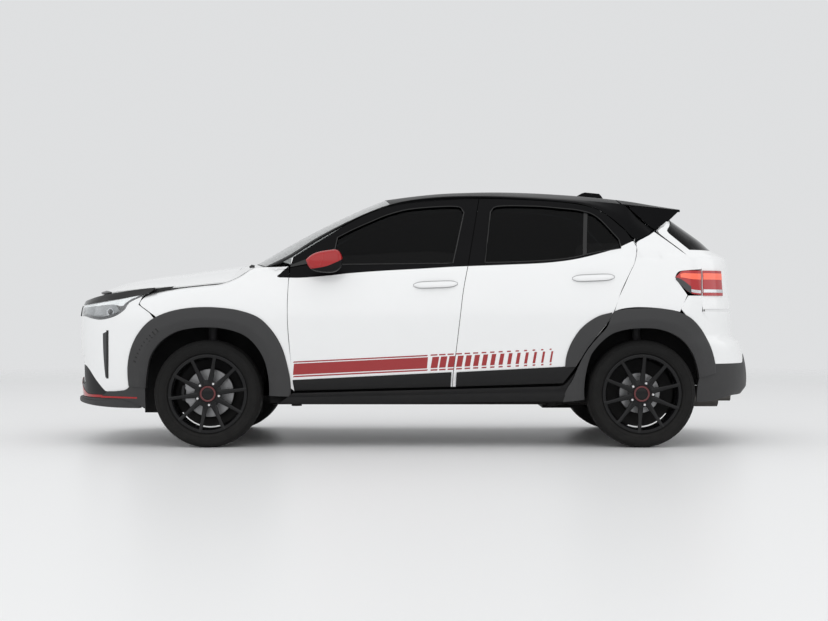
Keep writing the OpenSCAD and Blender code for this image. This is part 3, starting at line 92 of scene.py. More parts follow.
def table_curve(points):
    """Smooth curve through a table of places and values."""
    xs = [p[0] for p in points]
    ys = [p[1] for p in points]
    last = len(xs) - 1
    slopes = []
    for i in range(last + 1):
        a, b = max(i - 1, 0), min(i + 1, last)
        slopes.append((ys[b] - ys[a]) / (xs[b] - xs[a]))

    def curve(x):
        i = 0
        while i < last - 1 and x >= xs[i + 1]:
            i += 1
        h = xs[i + 1] - xs[i]
        t = (x - xs[i]) / h
        if t < 0:
            return ys[i] + slopes[i] * (x - xs[i])
        if t > 1:
            return ys[i + 1] + slopes[i + 1] * (x - xs[i + 1])
        u = 1 - t
        return (ys[i] * (1 + 2 * t) * u * u + ys[i + 1] * t * t * (3 - 2 * t)
                + h * (slopes[i] * t * u * u - slopes[i + 1] * t * t * u))
    return curve


plan = table_curve([(st(a), b) for a, b in (
    (-0.31, 0.932), (0, 0.948), (0.19, 0.962), (0.47, 0.968), (0.83, 0.970), (1, 0.960), (1.3, 0.938))])
shoulder = table_curve([(st(a), ht(b)) for a, b in (
    (-0.31, 0.609), (0.04, 0.638), (0.186, 0.650), (0.32, 0.666), (0.49, 0.684), (0.67, 0.698),
    (0.81, 0.711), (1, 0.726), (1.5, 0.726))])
nose_x = table_curve([(ht(a), X_FRONT - b * NOSE_OUT) for a, b in (
    (0.10, 0.94), (0.20, 0.965), (0.30, 0.975), (0.42, 0.98), (0.50, 0.973), (0.556, 0.948),
    (0.59, 0.888), (0.615, 0.79))])
tail_x = table_curve([(ht(a), X_REAR + b * TAIL_OUT) for a, b in (
    (0.17, 0.913), (0.20, 0.965), (0.225, 1), (0.285, 1), (0.345, 0.975), (0.40, 0.935), (0.425, 0.872),
    (0.52, 0.865), (0.59, 0.845), (0.66, 0.832), (0.71, 0.830), (0.73, 0.81), (0.756, 0.71), (0.80, 0.60),
    (0.88, 0.35), (0.93, 0.20))])
NOSE_FROM, TAIL_FROM, CORNER, Z_WIDE = st(-0.31), st(1.02), 3.2, ht(0.49)


def side_flat(x, z):
    """Half width of the body between the rounded corners."""
    p, s = plan(x) * HALF, shoulder(x)
    up = z - s
    if up > 0:
        return p - HALF * (0.047 + 0.011 * smooth(up / ht(0.02))) - up * (0.38 + 0.53 * up / ROOF)
    if z > Z_WIDE:
        return p - HALF * 0.047 * ((z - Z_WIDE) / (s - Z_WIDE)) ** 2
    return p - HALF * 0.05 * ((Z_WIDE - z) / (Z_WIDE * 0.66)) ** 2


def side_y(x, z):
    if x < NOSE_FROM:
        c = (NOSE_FROM - x) / (NOSE_FROM - nose_x(z))
        return side_flat(NOSE_FROM, z) * power(1 - power(c, CORNER), 1 / CORNER)
    if x > TAIL_FROM:
        c = (x - TAIL_FROM) / (tail_x(z) - TAIL_FROM)
        return side_flat(TAIL_FROM, z) * power(1 - power(c, CORNER), 1 / CORNER)
    return side_flat(x, z)


def away(y):
    return (EYE_AWAY - y) / HUB_AWAY


def put(p, y):
    """Place along and height of a picture place, at a distance y left of the middle."""
    return (X_AXIS + (p[0] - AXIS_PX) * away(y) * PX, EYE_UP + (HORIZON_PX - p[1]) * away(y) * ROOF / TALL_PX)


def seen_at(p):
    """Picture place of a point on the left side, used for paint boundaries."""
    k = away(-p[1])
    return (AXIS_PX + (p[0] - X_AXIS) / (k * PX), HORIZON_PX - (p[2] - EYE_UP) / (k * ROOF / TALL_PX))


def seen_left(p):
    """Picture place of a point, or of its mirror image on the left."""
    return seen_at((p[0], -abs(p[1]), p[2]))


def below(line):
    """Tone that rises above zero under a line in the picture."""
    def tone(p):
        x, y = seen_left(p)
        return y - line(x)
    return tone


def on_side(p, out=0.0):
    """Point of the left body side behind a picture place, stood off by out."""
    a = put(p, 0.93 * HALF)
    for _ in range(3):
        a = put(p, side_y(a[0], a[1]) + out)
    return np.array([a[0], -side_y(a[0], a[1]) - out, a[1]])


def catmull(points, n, breaks=()):
    """Curve through the points with n steps to each span; it turns sharply at the breaks."""
    last = len(points) - 1
    out = []
    for i in range(last):
        b, c = points[i], points[i + 1]
        a = points[i - 1] if i > 0 and i not in breaks else 2 * b - c
        d = points[i + 2] if i < last - 1 and (i + 1) not in breaks else 2 * c - b
        for k in range(n):
            f = k / n
            out.append(b + f / 2 * ((c - a) + f * ((2 * a - 5 * b + 4 * c - d) + f * (3 * b - a - 3 * c + d))))
    out.append(points[last])
    return np.array(out)


def refine(grid, nu, nv, breaks_u=(), breaks_v=()):
    """Smoother grid through a coarse one."""
    g = np.asarray(grid, float)
    g = np.array([catmull(c, nv, breaks_v) for c in g])
    return np.swapaxes(np.array([catmull(g[:, j], nu, breaks_u) for j in range(g.shape[1])]), 0, 1)


def grid_normals(g):
    u = np.empty_like(g)
    v = np.empty_like(g)
    u[1:-1], u[0], u[-1] = g[2:] - g[:-2], g[1] - g[0], g[-1] - g[-2]
    v[:, 1:-1], v[:, 0], v[:, -1] = g[:, 2:] - g[:, :-2], g[:, 1] - g[:, 0], g[:, -1] - g[:, -2]
    n = np.cross(u, v)
    return n / np.maximum(np.linalg.norm(n, axis=2, keepdims=True), 1e-9)


def trimmed(grid, e, side_e=None):
    """Grid drawn in along its surface on all four edges."""
    g = np.asarray(grid, float).copy()
    s = e if side_e is None else side_e

    def unit(a):
        return a / np.maximum(np.linalg.norm(a, axis=-1, keepdims=True), 1e-9)
    first, last = unit(g[1] - g[0]), unit(g[-1] - g[-2])
    low, top = unit(g[:, 1] - g[:, 0]), unit(g[:, -1] - g[:, -2])
    g[0] += s * first
    g[-1] -= s * last
    g[:, 0] += e * low
    g[:, -1] -= e * top
    return g


# ---------------------------------------------------------------- mesh building
class Build:
    """Points, faces and finish numbers of one piece, in millimetres."""

    def __init__(self):
        self.v, self.f, self.m = [], [], []

    def add(self, verts, faces, mat=0):
        base = len(self.v)
        self.v += [tuple(p) for p in verts]
        for k, f in enumerate(faces):
            self.f.append([base + i for i in f])
            self.m.append(mat[k] if isinstance(mat, list) else mat)
        return self

    def shell(self, out, inn, hole=None, mat=0):
        """Closed solid between two grids, with an open block of cells."""
        out, inn = np.asarray(out, float), np.asarray(inn, float)
        nu, nv = out.shape[:2]
        pts = list(out.reshape(-1, 3)) + list(inn.reshape(-1, 3))
        half = nu * nv

        def has(i, j):
            if i < 0 or j < 0 or i >= nu - 1 or j >= nv - 1:
                return False
            return not (hole and hole[0] <= i < hole[1] and hole[2] <= j < hole[3])
        faces = []
        for i in range(nu - 1):
            for j in range(nv - 1):
                if not has(i, j):
                    continue
                a, b, c, d = i * nv + j, (i + 1) * nv + j, (i + 1) * nv + j + 1, i * nv + j + 1
                faces.append([a, b, c, d])
                faces.append([half + d, half + c, half + b, half + a])
                if not has(i, j - 1):
                    faces.append([b, a, half + a, half + b])
                if not has(i, j + 1):
                    faces.append([d, c, half + c, half + d])
                if not has(i - 1, j):
                    faces.append([a, d, half + d, half + a])
                if not has(i + 1, j):
                    faces.append([c, b, half + b, half + c])
        return self.add(pts, faces, mat)

    def slab(self, grid, depth, mat=0):
        """Shell from a left-hand grid towards the middle."""
        grid = np.asarray(grid, float)
        return self.shell(grid, grid + inward(depth), None, mat)

    def tray(self, grid, drop, mat=0):
        """Shell from a grid straight down."""
        return self.shell(grid, grid - upward(drop), None, mat)

    def join(self, other):
        return self.add(other.v, other.f, other.m)

    def sheet(self, out, t, hole=None, mat=0):
        out = np.asarray(out, float)
        return self.shell(out, out - t * grid_normals(out), hole, mat)

    def revolve(self, profile, steps, mat=0, closed=True):
        """Ring about Y from (radius, along) pairs, listed so that faces look outward."""
        n = len(profile)
        pts = []
        for k in range(steps):
            a = 2 * math.pi * k / steps
            pts += [(r * math.cos(a), y, r * math.sin(a)) for r, y in profile]
        faces = []
        for k in range(steps):
            q = (k + 1) % steps
            for i in range(n if closed else n - 1):
                j = (i + 1) % n
                faces.append([k * n + i, k * n + j, q * n + j, q * n + i])
        return self.add(pts, faces, mat)

    def rings(self, rings, mat=0, end_mat=None, flip=False):
        """Closed skin through rings of points, capped at both ends."""
        n, last = len(rings[0]), len(rings) - 1
        walls = [[i * n + k, i * n + (k + 1) % n, (i + 1) * n + (k + 1) % n, (i + 1) * n + k]
                 for i in range(last) for k in range(n)]
        caps = [list(range(n))[::-1], [last * n + k for k in range(n)]]
        if flip:
            walls, caps = [f[:1] + f[:0:-1] for f in walls], [c[::-1] for c in caps]
        mats = [mat] * (len(walls) + 1) + [mat if end_mat is None else end_mat]
        return self.add([p for r in rings for p in r], walls + caps, mats)

    def tube(self, path, r, sides=10, mat=0):
        """Round bar along a path, closed at the ends."""
        path = np.asarray(path, float)
        rings = []
        for i, p in enumerate(path):
            d = path[min(i + 1, len(path) - 1)] - path[max(i - 1, 0)]
            d = d / np.linalg.norm(d)
            ref = upward(1) if abs(d[2]) < 0.9 else np.array([1.0, 0.0, 0.0])
            a = np.cross(d, ref)
            a /= np.linalg.norm(a)
            b = np.cross(d, a)
            rr = r[i] if hasattr(r, "__len__") else r
            rings.append([p + rr * (math.cos(t) * a + math.sin(t) * b)
                          for t in (2 * math.pi * k / sides for k in range(sides))])
        return self.rings(rings, mat)

    def mirrored(self):
        m = Build()
        m.v = [(p[0], -p[1], p[2]) for p in self.v]
        m.f = [f[::-1] for f in self.f]
        m.m = list(self.m)
        return m

    def both(self):
        return self.join(self.mirrored())

    def moved(self, d):
        m = Build()
        m.v = [(p[0] + d[0], p[1] + d[1], p[2] + d[2]) for p in self.v]
        m.f, m.m = [list(f) for f in self.f], list(self.m)
        return m

    def on(self, side):
        return self if side < 0 else self.mirrored()


def tone_at(p):
    """How far above the belt line a point is in the picture, in pixels; above zero is black."""
    x, y = seen_left(p)
    up = belt(x) - y
    if x < 300:
        up = min(up, (x - (291 - (y - 264) * 14 / 12)) * 0.8)
    return up


def as_mesh(name, build):
    mesh = bpy.data.meshes.new(name)
    mesh.from_pydata([(p[0] / 1000, p[1] / 1000, p[2] / 1000) for p in build.v], [], build.f)
    return mesh


def into_scene(name, data):
    obj = bpy.data.objects.new(name, data)
    bpy.context.scene.collection.objects.link(obj)
    return obj


def piece(build, name, body, finishes, replaced=(), bevel=0.0, angle=34, tone=None, rounds=0):
    """Puts a build into the scene as a named piece on a body."""
    mesh = as_mesh(name, build)
    for m in finishes:
        mesh.materials.append(m)
    mesh.polygons.foreach_set("material_index", build.m)
    mesh.polygons.foreach_set("use_smooth", [True] * len(mesh.polygons))
    if tone:
        layer = mesh.attributes.new("tone", "FLOAT", "POINT")
        layer.data.foreach_set("value", [tone(p) for p in build.v])
    mesh.update()
    mesh.set_sharp_from_angle(angle=math.radians(angle))
    obj = into_scene(name, mesh)
    if rounds:
        sub = obj.modifiers.new("rounding", "SUBSURF")
        sub.levels = sub.render_levels = rounds
    if bevel:
        bev = obj.modifiers.new("edge", "BEVEL")
        bev.width, bev.segments = bevel / 1000, 2
        bev.limit_method, bev.angle_limit = "ANGLE", math.radians(45)
        bev.harden_normals = True
    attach(obj, body)
    if replaced:
        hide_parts(*replaced)
    return obj


# ---------------------------------------------------------------- finishes
def socketed(name, ins, outs):
    tree = bpy.data.node_groups.new(name, "ShaderNodeTree")
    for label, kind, value in ins:
        s = tree.interface.new_socket(label, in_out="INPUT", socket_type=kind)
        s.default_value = value
    for label, kind in outs:
        tree.interface.new_socket(label, in_out="OUTPUT", socket_type=kind)
    return tree, tree.nodes.new("NodeGroupInput"), tree.nodes.new("NodeGroupOutput")


def new_node(tree, kind, inputs, **props):
    """New shader node; an input given as a socket is linked, any other value is set."""
    made = tree.nodes.new(f"ShaderNode{kind}")
    for key, value in props.items():
        setattr(made, key, value)
    for key, value in inputs.items():
        if isinstance(value, bpy.types.NodeSocket):
            tree.links.new(value, made.inputs[key])
        else:
            made.inputs[key].default_value = value
    return made


def grain_group():
    """Two tones, a range of roughness and a fine relief, all from noise in the piece's own place."""
    tree, gi, go = socketed("moulded_grain", [
        ("Tone A", "NodeSocketColor", (0.5, 0.5, 0.5, 1)), ("Tone B", "NodeSocketColor", (0.4, 0.4, 0.4, 1)),
        ("Patch Scale", "NodeSocketFloat", 6.0), ("Grain Scale", "NodeSocketFloat", 600.0),
        ("Rough Low", "NodeSocketFloat", 0.3), ("Rough High", "NodeSocketFloat", 0.5),
        ("Relief", "NodeSocketFloat", 0.2)],
        [("Color", "NodeSocketColor"), ("Roughness", "NodeSocketFloat"), ("Normal", "NodeSocketVector")])
    given = gi.outputs
    place = new_node(tree, "TexCoord", {}).outputs["Object"]
    patch = new_node(tree, "TexNoise", {"Vector": place, "Scale": given["Patch Scale"], "Detail": 4}).outputs["Fac"]
    grain = new_node(tree, "TexNoise", {"Vector": place, "Scale": given["Grain Scale"], "Detail": 3}).outputs["Fac"]
    mix = new_node(tree, "Mix", {0: patch, 6: given["Tone A"], 7: given["Tone B"]}, data_type="RGBA")
    rough = new_node(tree, "MapRange", {"Value": patch, "From Min": 0.3, "From Max": 0.7,
                                    "To Min": given["Rough Low"], "To Max": given["Rough High"]})
    bump = new_node(tree, "Bump", {"Strength": given["Relief"], "Height": grain, "Distance": 0.0006})
    for made, out, socket in ((mix, 2, "Color"), (rough, "Result", "Roughness"), (bump, "Normal", "Normal")):
        tree.links.new(made.outputs[out], go.inputs[socket])
    return tree


def dust_group():
    """Road dust that thickens towards the ground, broken up by noise."""
    tree, gi, go = socketed("road_dust", [
        ("Color", "NodeSocketColor", (0.1, 0.1, 0.1, 1)), ("Dust", "NodeSocketColor", (0.3, 0.28, 0.26, 1)),
        ("Top", "NodeSocketFloat", 0.5), ("Most", "NodeSocketFloat", 0.2)],
        [("Color", "NodeSocketColor"), ("Mask", "NodeSocketFloat")])
    given = gi.outputs
    place = new_node(tree, "TexCoord", {}).outputs["Object"]
    height = new_node(tree, "SeparateXYZ", {"Vector": place}).outputs["Z"]
    fall = new_node(tree, "MapRange", {"Value": height, "From Min": given["Top"], "From Max": 0.0,
                                   "To Min": 0.0, "To Max": given["Most"]}).outputs["Result"]
    noise = new_node(tree, "TexNoise", {"Vector": place, "Scale": 22, "Detail": 6}).outputs["Fac"]
    share = new_node(tree, "Math", {0: fall, 1: noise}, operation="MULTIPLY").outputs[0]
    mix = new_node(tree, "Mix", {0: share, 6: given["Color"], 7: given["Dust"]}, data_type="RGBA")
    tree.links.new(mix.outputs[2], go.inputs["Color"])
    tree.links.new(share, go.inputs["Mask"])
    return tree


def tone_group():
    """Sharp mask at the belt line from the tone carried by the points."""
    tree, gi, go = socketed("belt_tone", [("Soft", "NodeSocketFloat", 0.06)], [("Mask", "NodeSocketFloat")])
    tone = new_node(tree, "Attribute", {}, attribute_name="tone").outputs["Fac"]
    ramp = new_node(tree, "MapRange", {"Value": tone, "From Min": 0.0, "From Max": gi.outputs["Soft"]})
    tree.links.new(ramp.outputs["Result"], go.inputs["Mask"])
    return tree


GRAIN, DUST, TONE = grain_group(), dust_group(), tone_group()


def finish(name, a, b, rough=(0.3, 0.45), patch=5.0, grain=500.0, relief=0.15, metal=0.0, coat=0.0, coat_rough=0.03,
           through=0.0, ior=1.5, dust=None, sheen=0.0, glow=None, spec=0.5, other=None):
    """Material from the shared groups; constant values sit on the shader's own sockets."""
    mat = bpy.data.materials.new(name)
    mat.use_nodes = True
    tree, k = mat.node_tree, mat.node_tree.links.new
    p = tree.nodes["Principled BSDF"]
    g = new_node(tree, "Group", {"Tone A": (*a, 1), "Tone B": (*b, 1), "Patch Scale": patch, "Grain Scale": grain,
                             "Rough Low": rough[0], "Rough High": rough[1], "Relief": relief}, node_tree=GRAIN)
    color = g.outputs["Color"]
    if other:
        mask = new_node(tree, "Group", {}, node_tree=TONE).outputs["Mask"]
        color = new_node(tree, "Mix", {0: mask, 6: color, 7: (*other, 1)}, data_type="RGBA").outputs[2]
        for socket, plain, dark in (("Coat Weight", coat, 0.02), ("Specular IOR Level", spec, 0.06)):
            fade = new_node(tree, "MapRange", {"Value": mask, "To Min": plain, "To Max": dark})
            k(fade.outputs["Result"], p.inputs[socket])
    if dust:
        d = {"Color": color, "Top": dust[0], "Most": dust[1]}
        color = new_node(tree, "Group", d, node_tree=DUST).outputs["Color"]
    k(color, p.inputs["Base Color"])
    k(g.outputs["Roughness"], p.inputs["Roughness"])
    k(g.outputs["Normal"], p.inputs["Normal"])
    for socket, value in (("Metallic", metal), ("Coat Weight", coat), ("Coat Roughness", coat_rough),
                          ("Transmission Weight", through), ("IOR", ior), ("Sheen Weight", sheen),
                          ("Specular IOR Level", spec)):
        p.inputs[socket].default_value = value
    if glow:
        k(color, p.inputs["Emission Color"])
        p.inputs["Emission Strength"].default_value = glow
    return mat


ENAMEL, SIGNAL = ((0.86, 0.865, 0.866), (0.84, 0.846, 0.848)), ((0.33, 0.006, 0.008), (0.39, 0.009, 0.011))
white = finish("white_enamel", *ENAMEL, (0.16, 0.24), 2.5, 900, 0.012, coat=0.6, coat_rough=0.03)
black = finish("roof_black", (0.004, 0.004, 0.0045), (0.007, 0.007, 0.0075), (0.26, 0.36), 2.5, 900, 0.012,
               coat=0.02, spec=0.02)
two_tone = finish("belt_two_tone", *ENAMEL, (0.17, 0.25), 2.5, 900, 0.012, coat=0.6, other=(0.005, 0.005, 0.0055))
clad = finish("grained_cladding", (0.030, 0.030, 0.031), (0.042, 0.042, 0.043), (0.48, 0.62), 7, 1500, 0.5,
              dust=(0.75, 0.05), spec=0.35)
sill_black = finish("sill_grain", (0.008, 0.008, 0.0085), (0.013, 0.013, 0.0135), (0.5, 0.64), 7, 1500, 0.5,
                    dust=(0.45, 0.04), spec=0.2)
nose_two_tone = finish("nose_two_tone", *ENAMEL, (0.19, 0.27), 2.5, 900, 0.02, coat=0.4, other=(0.03, 0.03, 0.031))
gloss = finish("grille_black", (0.005, 0.005, 0.005), (0.010, 0.010, 0.010), (0.24, 0.36), 5, 700, 0.05, coat=0.2,
               spec=0.35)
tint = finish("smoked_glass", (0.005, 0.006, 0.007), (0.007, 0.008, 0.009), (0.01, 0.03), 3, 60, 0.004, through=0.9,
              ior=1.2)
screen = finish("screen_glass", (0.70, 0.73, 0.72), (0.74, 0.77, 0.76), (0.01, 0.03), 3, 60, 0.004, through=0.95)
red = finish("signal_red", *SIGNAL, (0.24, 0.34), 5, 800, 0.02, coat=0.4, spec=0.35)
cap_two_tone = finish("mirror_cap", *SIGNAL, (0.22, 0.32), 5, 800, 0.02, coat=0.4, spec=0.35,
                      other=(0.012, 0.012, 0.0125))
deep_red = finish("cap_red", (0.085, 0.006, 0.008), (0.12, 0.008, 0.010), (0.26, 0.38), 30, 800, 0.02, coat=0.4)
stripe_red = finish("stripe_film", (0.30, 0.010, 0.013), (0.35, 0.014, 0.017), (0.30, 0.40), 9, 900, 0.03, coat=0.3)
rim_black = finish("wheel_black", (0.003, 0.003, 0.0035), (0.006, 0.006, 0.0065), (0.14, 0.24), 14, 900, 0.03, coat=0.1,
                   spec=0.2)
rubber = finish("tyre_rubber", (0.004, 0.004, 0.004), (0.008, 0.008, 0.008), (0.55, 0.75), 26, 900, 0.6,
                dust=(0.7, 0.05), spec=0.15)
steel = finish("turned_steel", (0.22, 0.22, 0.225), (0.30, 0.30, 0.305), (0.25, 0.42), 30, 400, 0.2, metal=1.0)
bright = finish("bright_nut", (0.62, 0.62, 0.63), (0.72, 0.72, 0.73), (0.16, 0.28), 40, 400, 0.08, metal=1.0)
cast = finish("cast_metal", (0.03, 0.03, 0.032), (0.05, 0.05, 0.053), (0.5, 0.7), 24, 300, 0.5, metal=0.5,
              dust=(0.7, 0.1))
chassis = finish("underbody_coat", (0.005, 0.005, 0.0055), (0.010, 0.010, 0.0105), (0.6, 0.8), 9, 260, 0.6,
                 dust=(0.5, 0.08), spec=0.2)
lens = finish("clear_lens", (0.93, 0.95, 0.96), (0.96, 0.97, 0.98), (0.02, 0.05), 6, 300, 0.01, through=0.96)
lens_red = finish("red_lens", (0.36, 0.008, 0.012), (0.46, 0.014, 0.018), (0.08, 0.16), 9, 260, 0.05, coat=0.5)
amber_band = finish("light_band", (0.80, 0.10, 0.055), (0.88, 0.17, 0.09), (0.1, 0.2), 12, 300, 0.05, coat=0.5,
                    glow=0.2)
mirror_bright = finish("lamp_mirror", (0.62, 0.63, 0.65), (0.74, 0.75, 0.77), (0.18, 0.32), 40, 200, 0.05, metal=1.0)
lamp_grey = finish("lamp_reflector", (0.42, 0.43, 0.44), (0.52, 0.53, 0.54), (0.25, 0.4), 20, 300, 0.08, coat=0.4)
# Grey finish of the plate under each door handle: painted shadow of the gap round the handle.
handle_shadow = finish("handle_painted_shadow", (0.44, 0.44, 0.445), (0.50, 0.50, 0.505), (0.4, 0.6), 8, 500, 0.1)
lamp_dark = finish("lamp_body", (0.035, 0.036, 0.038), (0.055, 0.056, 0.058), (0.25, 0.4), 8, 500, 0.1)
led = finish("day_light", (0.88, 0.90, 0.90), (0.95, 0.96, 0.95), (0.12, 0.2), 30, 300, 0.02, glow=0.35, coat=0.5)
cloth = finish("seat_cloth", (0.014, 0.014, 0.016), (0.026, 0.026, 0.029), (0.75, 0.92), 18, 1300, 0.9, sheen=0.2)
seat_side = finish("seat_leather", (0.010, 0.010, 0.011), (0.016, 0.016, 0.017), (0.42, 0.58), 14, 520, 0.5)
dash_skin = finish("dash_grain", (0.010, 0.010, 0.011), (0.016, 0.016, 0.017), (0.5, 0.68), 8, 900, 0.6)
pipe = finish("exhaust_steel", (0.07, 0.067, 0.063), (0.11, 0.105, 0.10), (0.32, 0.52), 16, 300, 0.25, metal=1.0,
              dust=(0.5, 0.3))

CARRIED = {"underbody": chassis, "engine": cast, "front_suspension": cast, "rear_axle": cast, "exhaust": pipe,
           "fuel_tank": chassis, "knuckle_left": cast, "knuckle_right": cast, "dashboard": dash_skin}
for node, look in CARRIED.items():
    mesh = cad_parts[node].data
    mesh.materials.clear()
    mesh.materials.append(look)

# ---------------------------------------------------------------- camera, floor and light
cam_data = bpy.data.cameras.new("side_camera")
SENSOR, PICTURE_W = 36.0, 828.0
cam_data.sensor_width = SENSOR
cam_data.lens = HUB_AWAY / PX * SENSOR / PICTURE_W
cam_data.clip_end = 100.0
camera = into_scene("side_camera", cam_data)
camera.location = (X_AXIS / 1000, -EYE_AWAY / 1000, EYE_UP / 1000)
camera.rotation_euler = (math.radians(90), 0, 0)
bpy.context.scene.camera = camera


def fade_out(mat, inner, outer):
    """Lets the floor's edge melt into the even backdrop."""
    n, k = mat.node_tree.nodes, mat.node_tree.links.new
    place, reach, fade = n.new("ShaderNodeTexCoord"), n.new("ShaderNodeVectorMath"), n.new("ShaderNodeMapRange")
    clear, mix = n.new("ShaderNodeBsdfTransparent"), n.new("ShaderNodeMixShader")
    reach.operation = "LENGTH"
    fade.interpolation_type = "SMOOTHSTEP"
    fade.inputs["From Min"].default_value, fade.inputs["From Max"].default_value = inner, outer
    k(place.outputs["Object"], reach.inputs[0])
    k(reach.outputs["Value"], fade.inputs["Value"])
    k(fade.outputs["Result"], mix.inputs[0])
    k(n["Principled BSDF"].outputs["BSDF"], mix.inputs[1])
    k(clear.outputs["BSDF"], mix.inputs[2])
    k(mix.outputs["Shader"], n["Material Output"].inputs["Surface"])


FLOOR_R, ROUND, FADE = 15.0, 72, (7.5, 14.0)
pale = finish("pale_floor", (0.85, 0.85, 0.85), (0.84, 0.84, 0.84), (0.34, 0.38), 0.3, 40, 0.004, spec=0.3)
fade_out(pale, *FADE)
floor_mesh = bpy.data.meshes.new("floor")
floor_edge = [(FLOOR_R * math.cos(a), FLOOR_R * math.sin(a), 0)
              for a in (2 * math.pi * k / ROUND for k in range(ROUND))]
floor_mesh.from_pydata([(0, 0, 0)] + floor_edge, [], [(0, k + 1, (k + 1) % ROUND + 1) for k in range(ROUND)])
floor_mesh.materials.append(pale)
floor = into_scene("floor", floor_mesh)


def softbox(name, place, turn, size, watts):
    data = bpy.data.lights.new(name, "AREA")
    data.shape, data.size, data.size_y, data.energy = "RECTANGLE", size[0], size[1], watts
    lamp = into_scene(name, data)
    lamp.location = place
    lamp.rotation_euler = tuple(math.radians(a) for a in turn)


softbox("ceiling_box", (0, 0.5, 6.4), (0, 0, 0), (14, 11), 130)
softbox("side_box", (0, -9.5, 5.2), (60, 0, 0), (20, 9), 330)
softbox("front_box", (-7.5, -2.0, 3.2), (0, -68, 0), (3.5, 5), 35)
softbox("rear_box", (7.5, -2.0, 3.2), (0, 68, 0), (3.5, 5), 35)
world = bpy.data.worlds.new("studio")
world.use_nodes = True
backdrop = world.node_tree.nodes["Background"].inputs
backdrop["Color"].default_value, backdrop["Strength"].default_value = (0.93, 0.94, 0.95, 1), 0.79
bpy.context.scene.world = world
bpy.context.scene.view_settings.view_transform = "Standard"

# ---------------------------------------------------------------- outlines kept as picture places
belt = table_curve([(262, 279), (277, 277.6), (300, 277.8), (330, 275.5), (347, 273.5), (380, 271), (420, 268.8),
                    (450, 267), (468, 266.2), (500, 265), (540, 263.3), (560, 261.5), (575, 259.3), (590, 256),
                    (610, 250.5), (620, 247), (632, 241.5), (640, 238.5), (655, 230.5), (667, 221), (676, 213.5),
                    (690, 203)])
WHERE = {-1: "left", 1: "right"}
DOOR_COLS = (0, 0.26, 0.38, 0.5, 0.62, 0.74, 0.84, 0.93, 1)


def even_row(a, b):
    return [(lerp(a[0], b[0], s), lerp(a[1], b[1], s)) for s in DOOR_COLS]


FRONT_DOOR = [
    even_row((294.5, 391), (452.5, 387)), even_row((292.3, 380), (453.4, 372)), even_row((289.5, 350), (456.3, 350)),
    even_row((287.3, 319), (460, 319)), even_row((287.8, 290), (463.5, 290)),
    [(290, 268), (331.5, 264.5), (355, 264.2), (375, 264), (395, 263.8), (415, 263.6), (438, 263.4), (453, 263.2),
     (468.5, 263)],
    [(291, 263), (337.5, 237.5), (352, 230), (370, 222), (390, 214), (414, 208.6), (455.5, 206.4), (463.9, 212.2),
     (476.7, 213)],
    [(291.3, 258), (340, 228.2), (352, 221.5), (370, 213), (390, 206), (413, 202), (454, 199.1), (466, 198.7),
     (479, 198.5)]]
REAR_DOOR = [
    even_row((452.5, 387), (563, 383.5)), even_row((453.4, 372.3), (576.5, 366)), even_row((456.3, 350), (586, 350)),
    even_row((460, 319), (610.5, 319)), even_row((463.5, 290), (622, 290)),
    [(468.5, 263), (485, 262.5), (510, 262), (535, 261), (556, 259.6), (575, 257), (593, 252.8), (621, 248),
     (634.8, 263)],
    [(476.7, 213), (490.4, 211.8), (498.5, 206.2), (535, 206.2), (560, 208.2), (580, 210.5), (597, 217), (619, 239.5),
     (636.5, 254)],
    [(479, 198.5), (492, 198.6), (503, 198.8), (535, 200.3), (562, 202.2), (585, 205.5), (603, 212.3), (626, 231),
     (637, 247)]]
FINE = 5


def side_grid(px, fine_u, fine_v, breaks_u=(), breaks_v=()):
    """Grid on the left body side from rows of picture places, columns first."""
    net = np.swapaxes(np.array([[on_side(p)[[0, 2]] for p in r] for r in px]), 0, 1)
    return refine(net, fine_u, fine_v, breaks_u, breaks_v)


def drawn_in(net, e):
    """Flat net with its outer rows and columns moved in."""
    net = net.copy()
    net[0, :, 0] += e
    net[-1, :, 0] -= e
    net[:, 0, 1] += e
    net[:, -1, 1] -= e
    return net


def raised(net, out=0.0):
    """Flat net laid on the left body side, stood off by out."""
    return np.array([[(p[0], -side_y(p[0], p[1]) - out, p[1]) for p in c] for c in net])


def door_inner(net):
    def depth(x, z):
        return lerp(DOOR, FRAME, smooth((z - shoulder(x) + ht(0.05)) / ht(0.05)))
    return np.array([[(p[0], depth(p[0], p[1]) - side_y(p[0], p[1]), p[1]) for p in c] for c in net])


doors = {end: drawn_in(side_grid(px, FINE, FINE, (1, 7), (5, 6)), SHUT)
         for end, px in (("front", FRONT_DOOR), ("rear", REAR_DOOR))}
WINDOW = (1 * FINE, 7 * FINE, 5 * FINE, 6 * FINE)


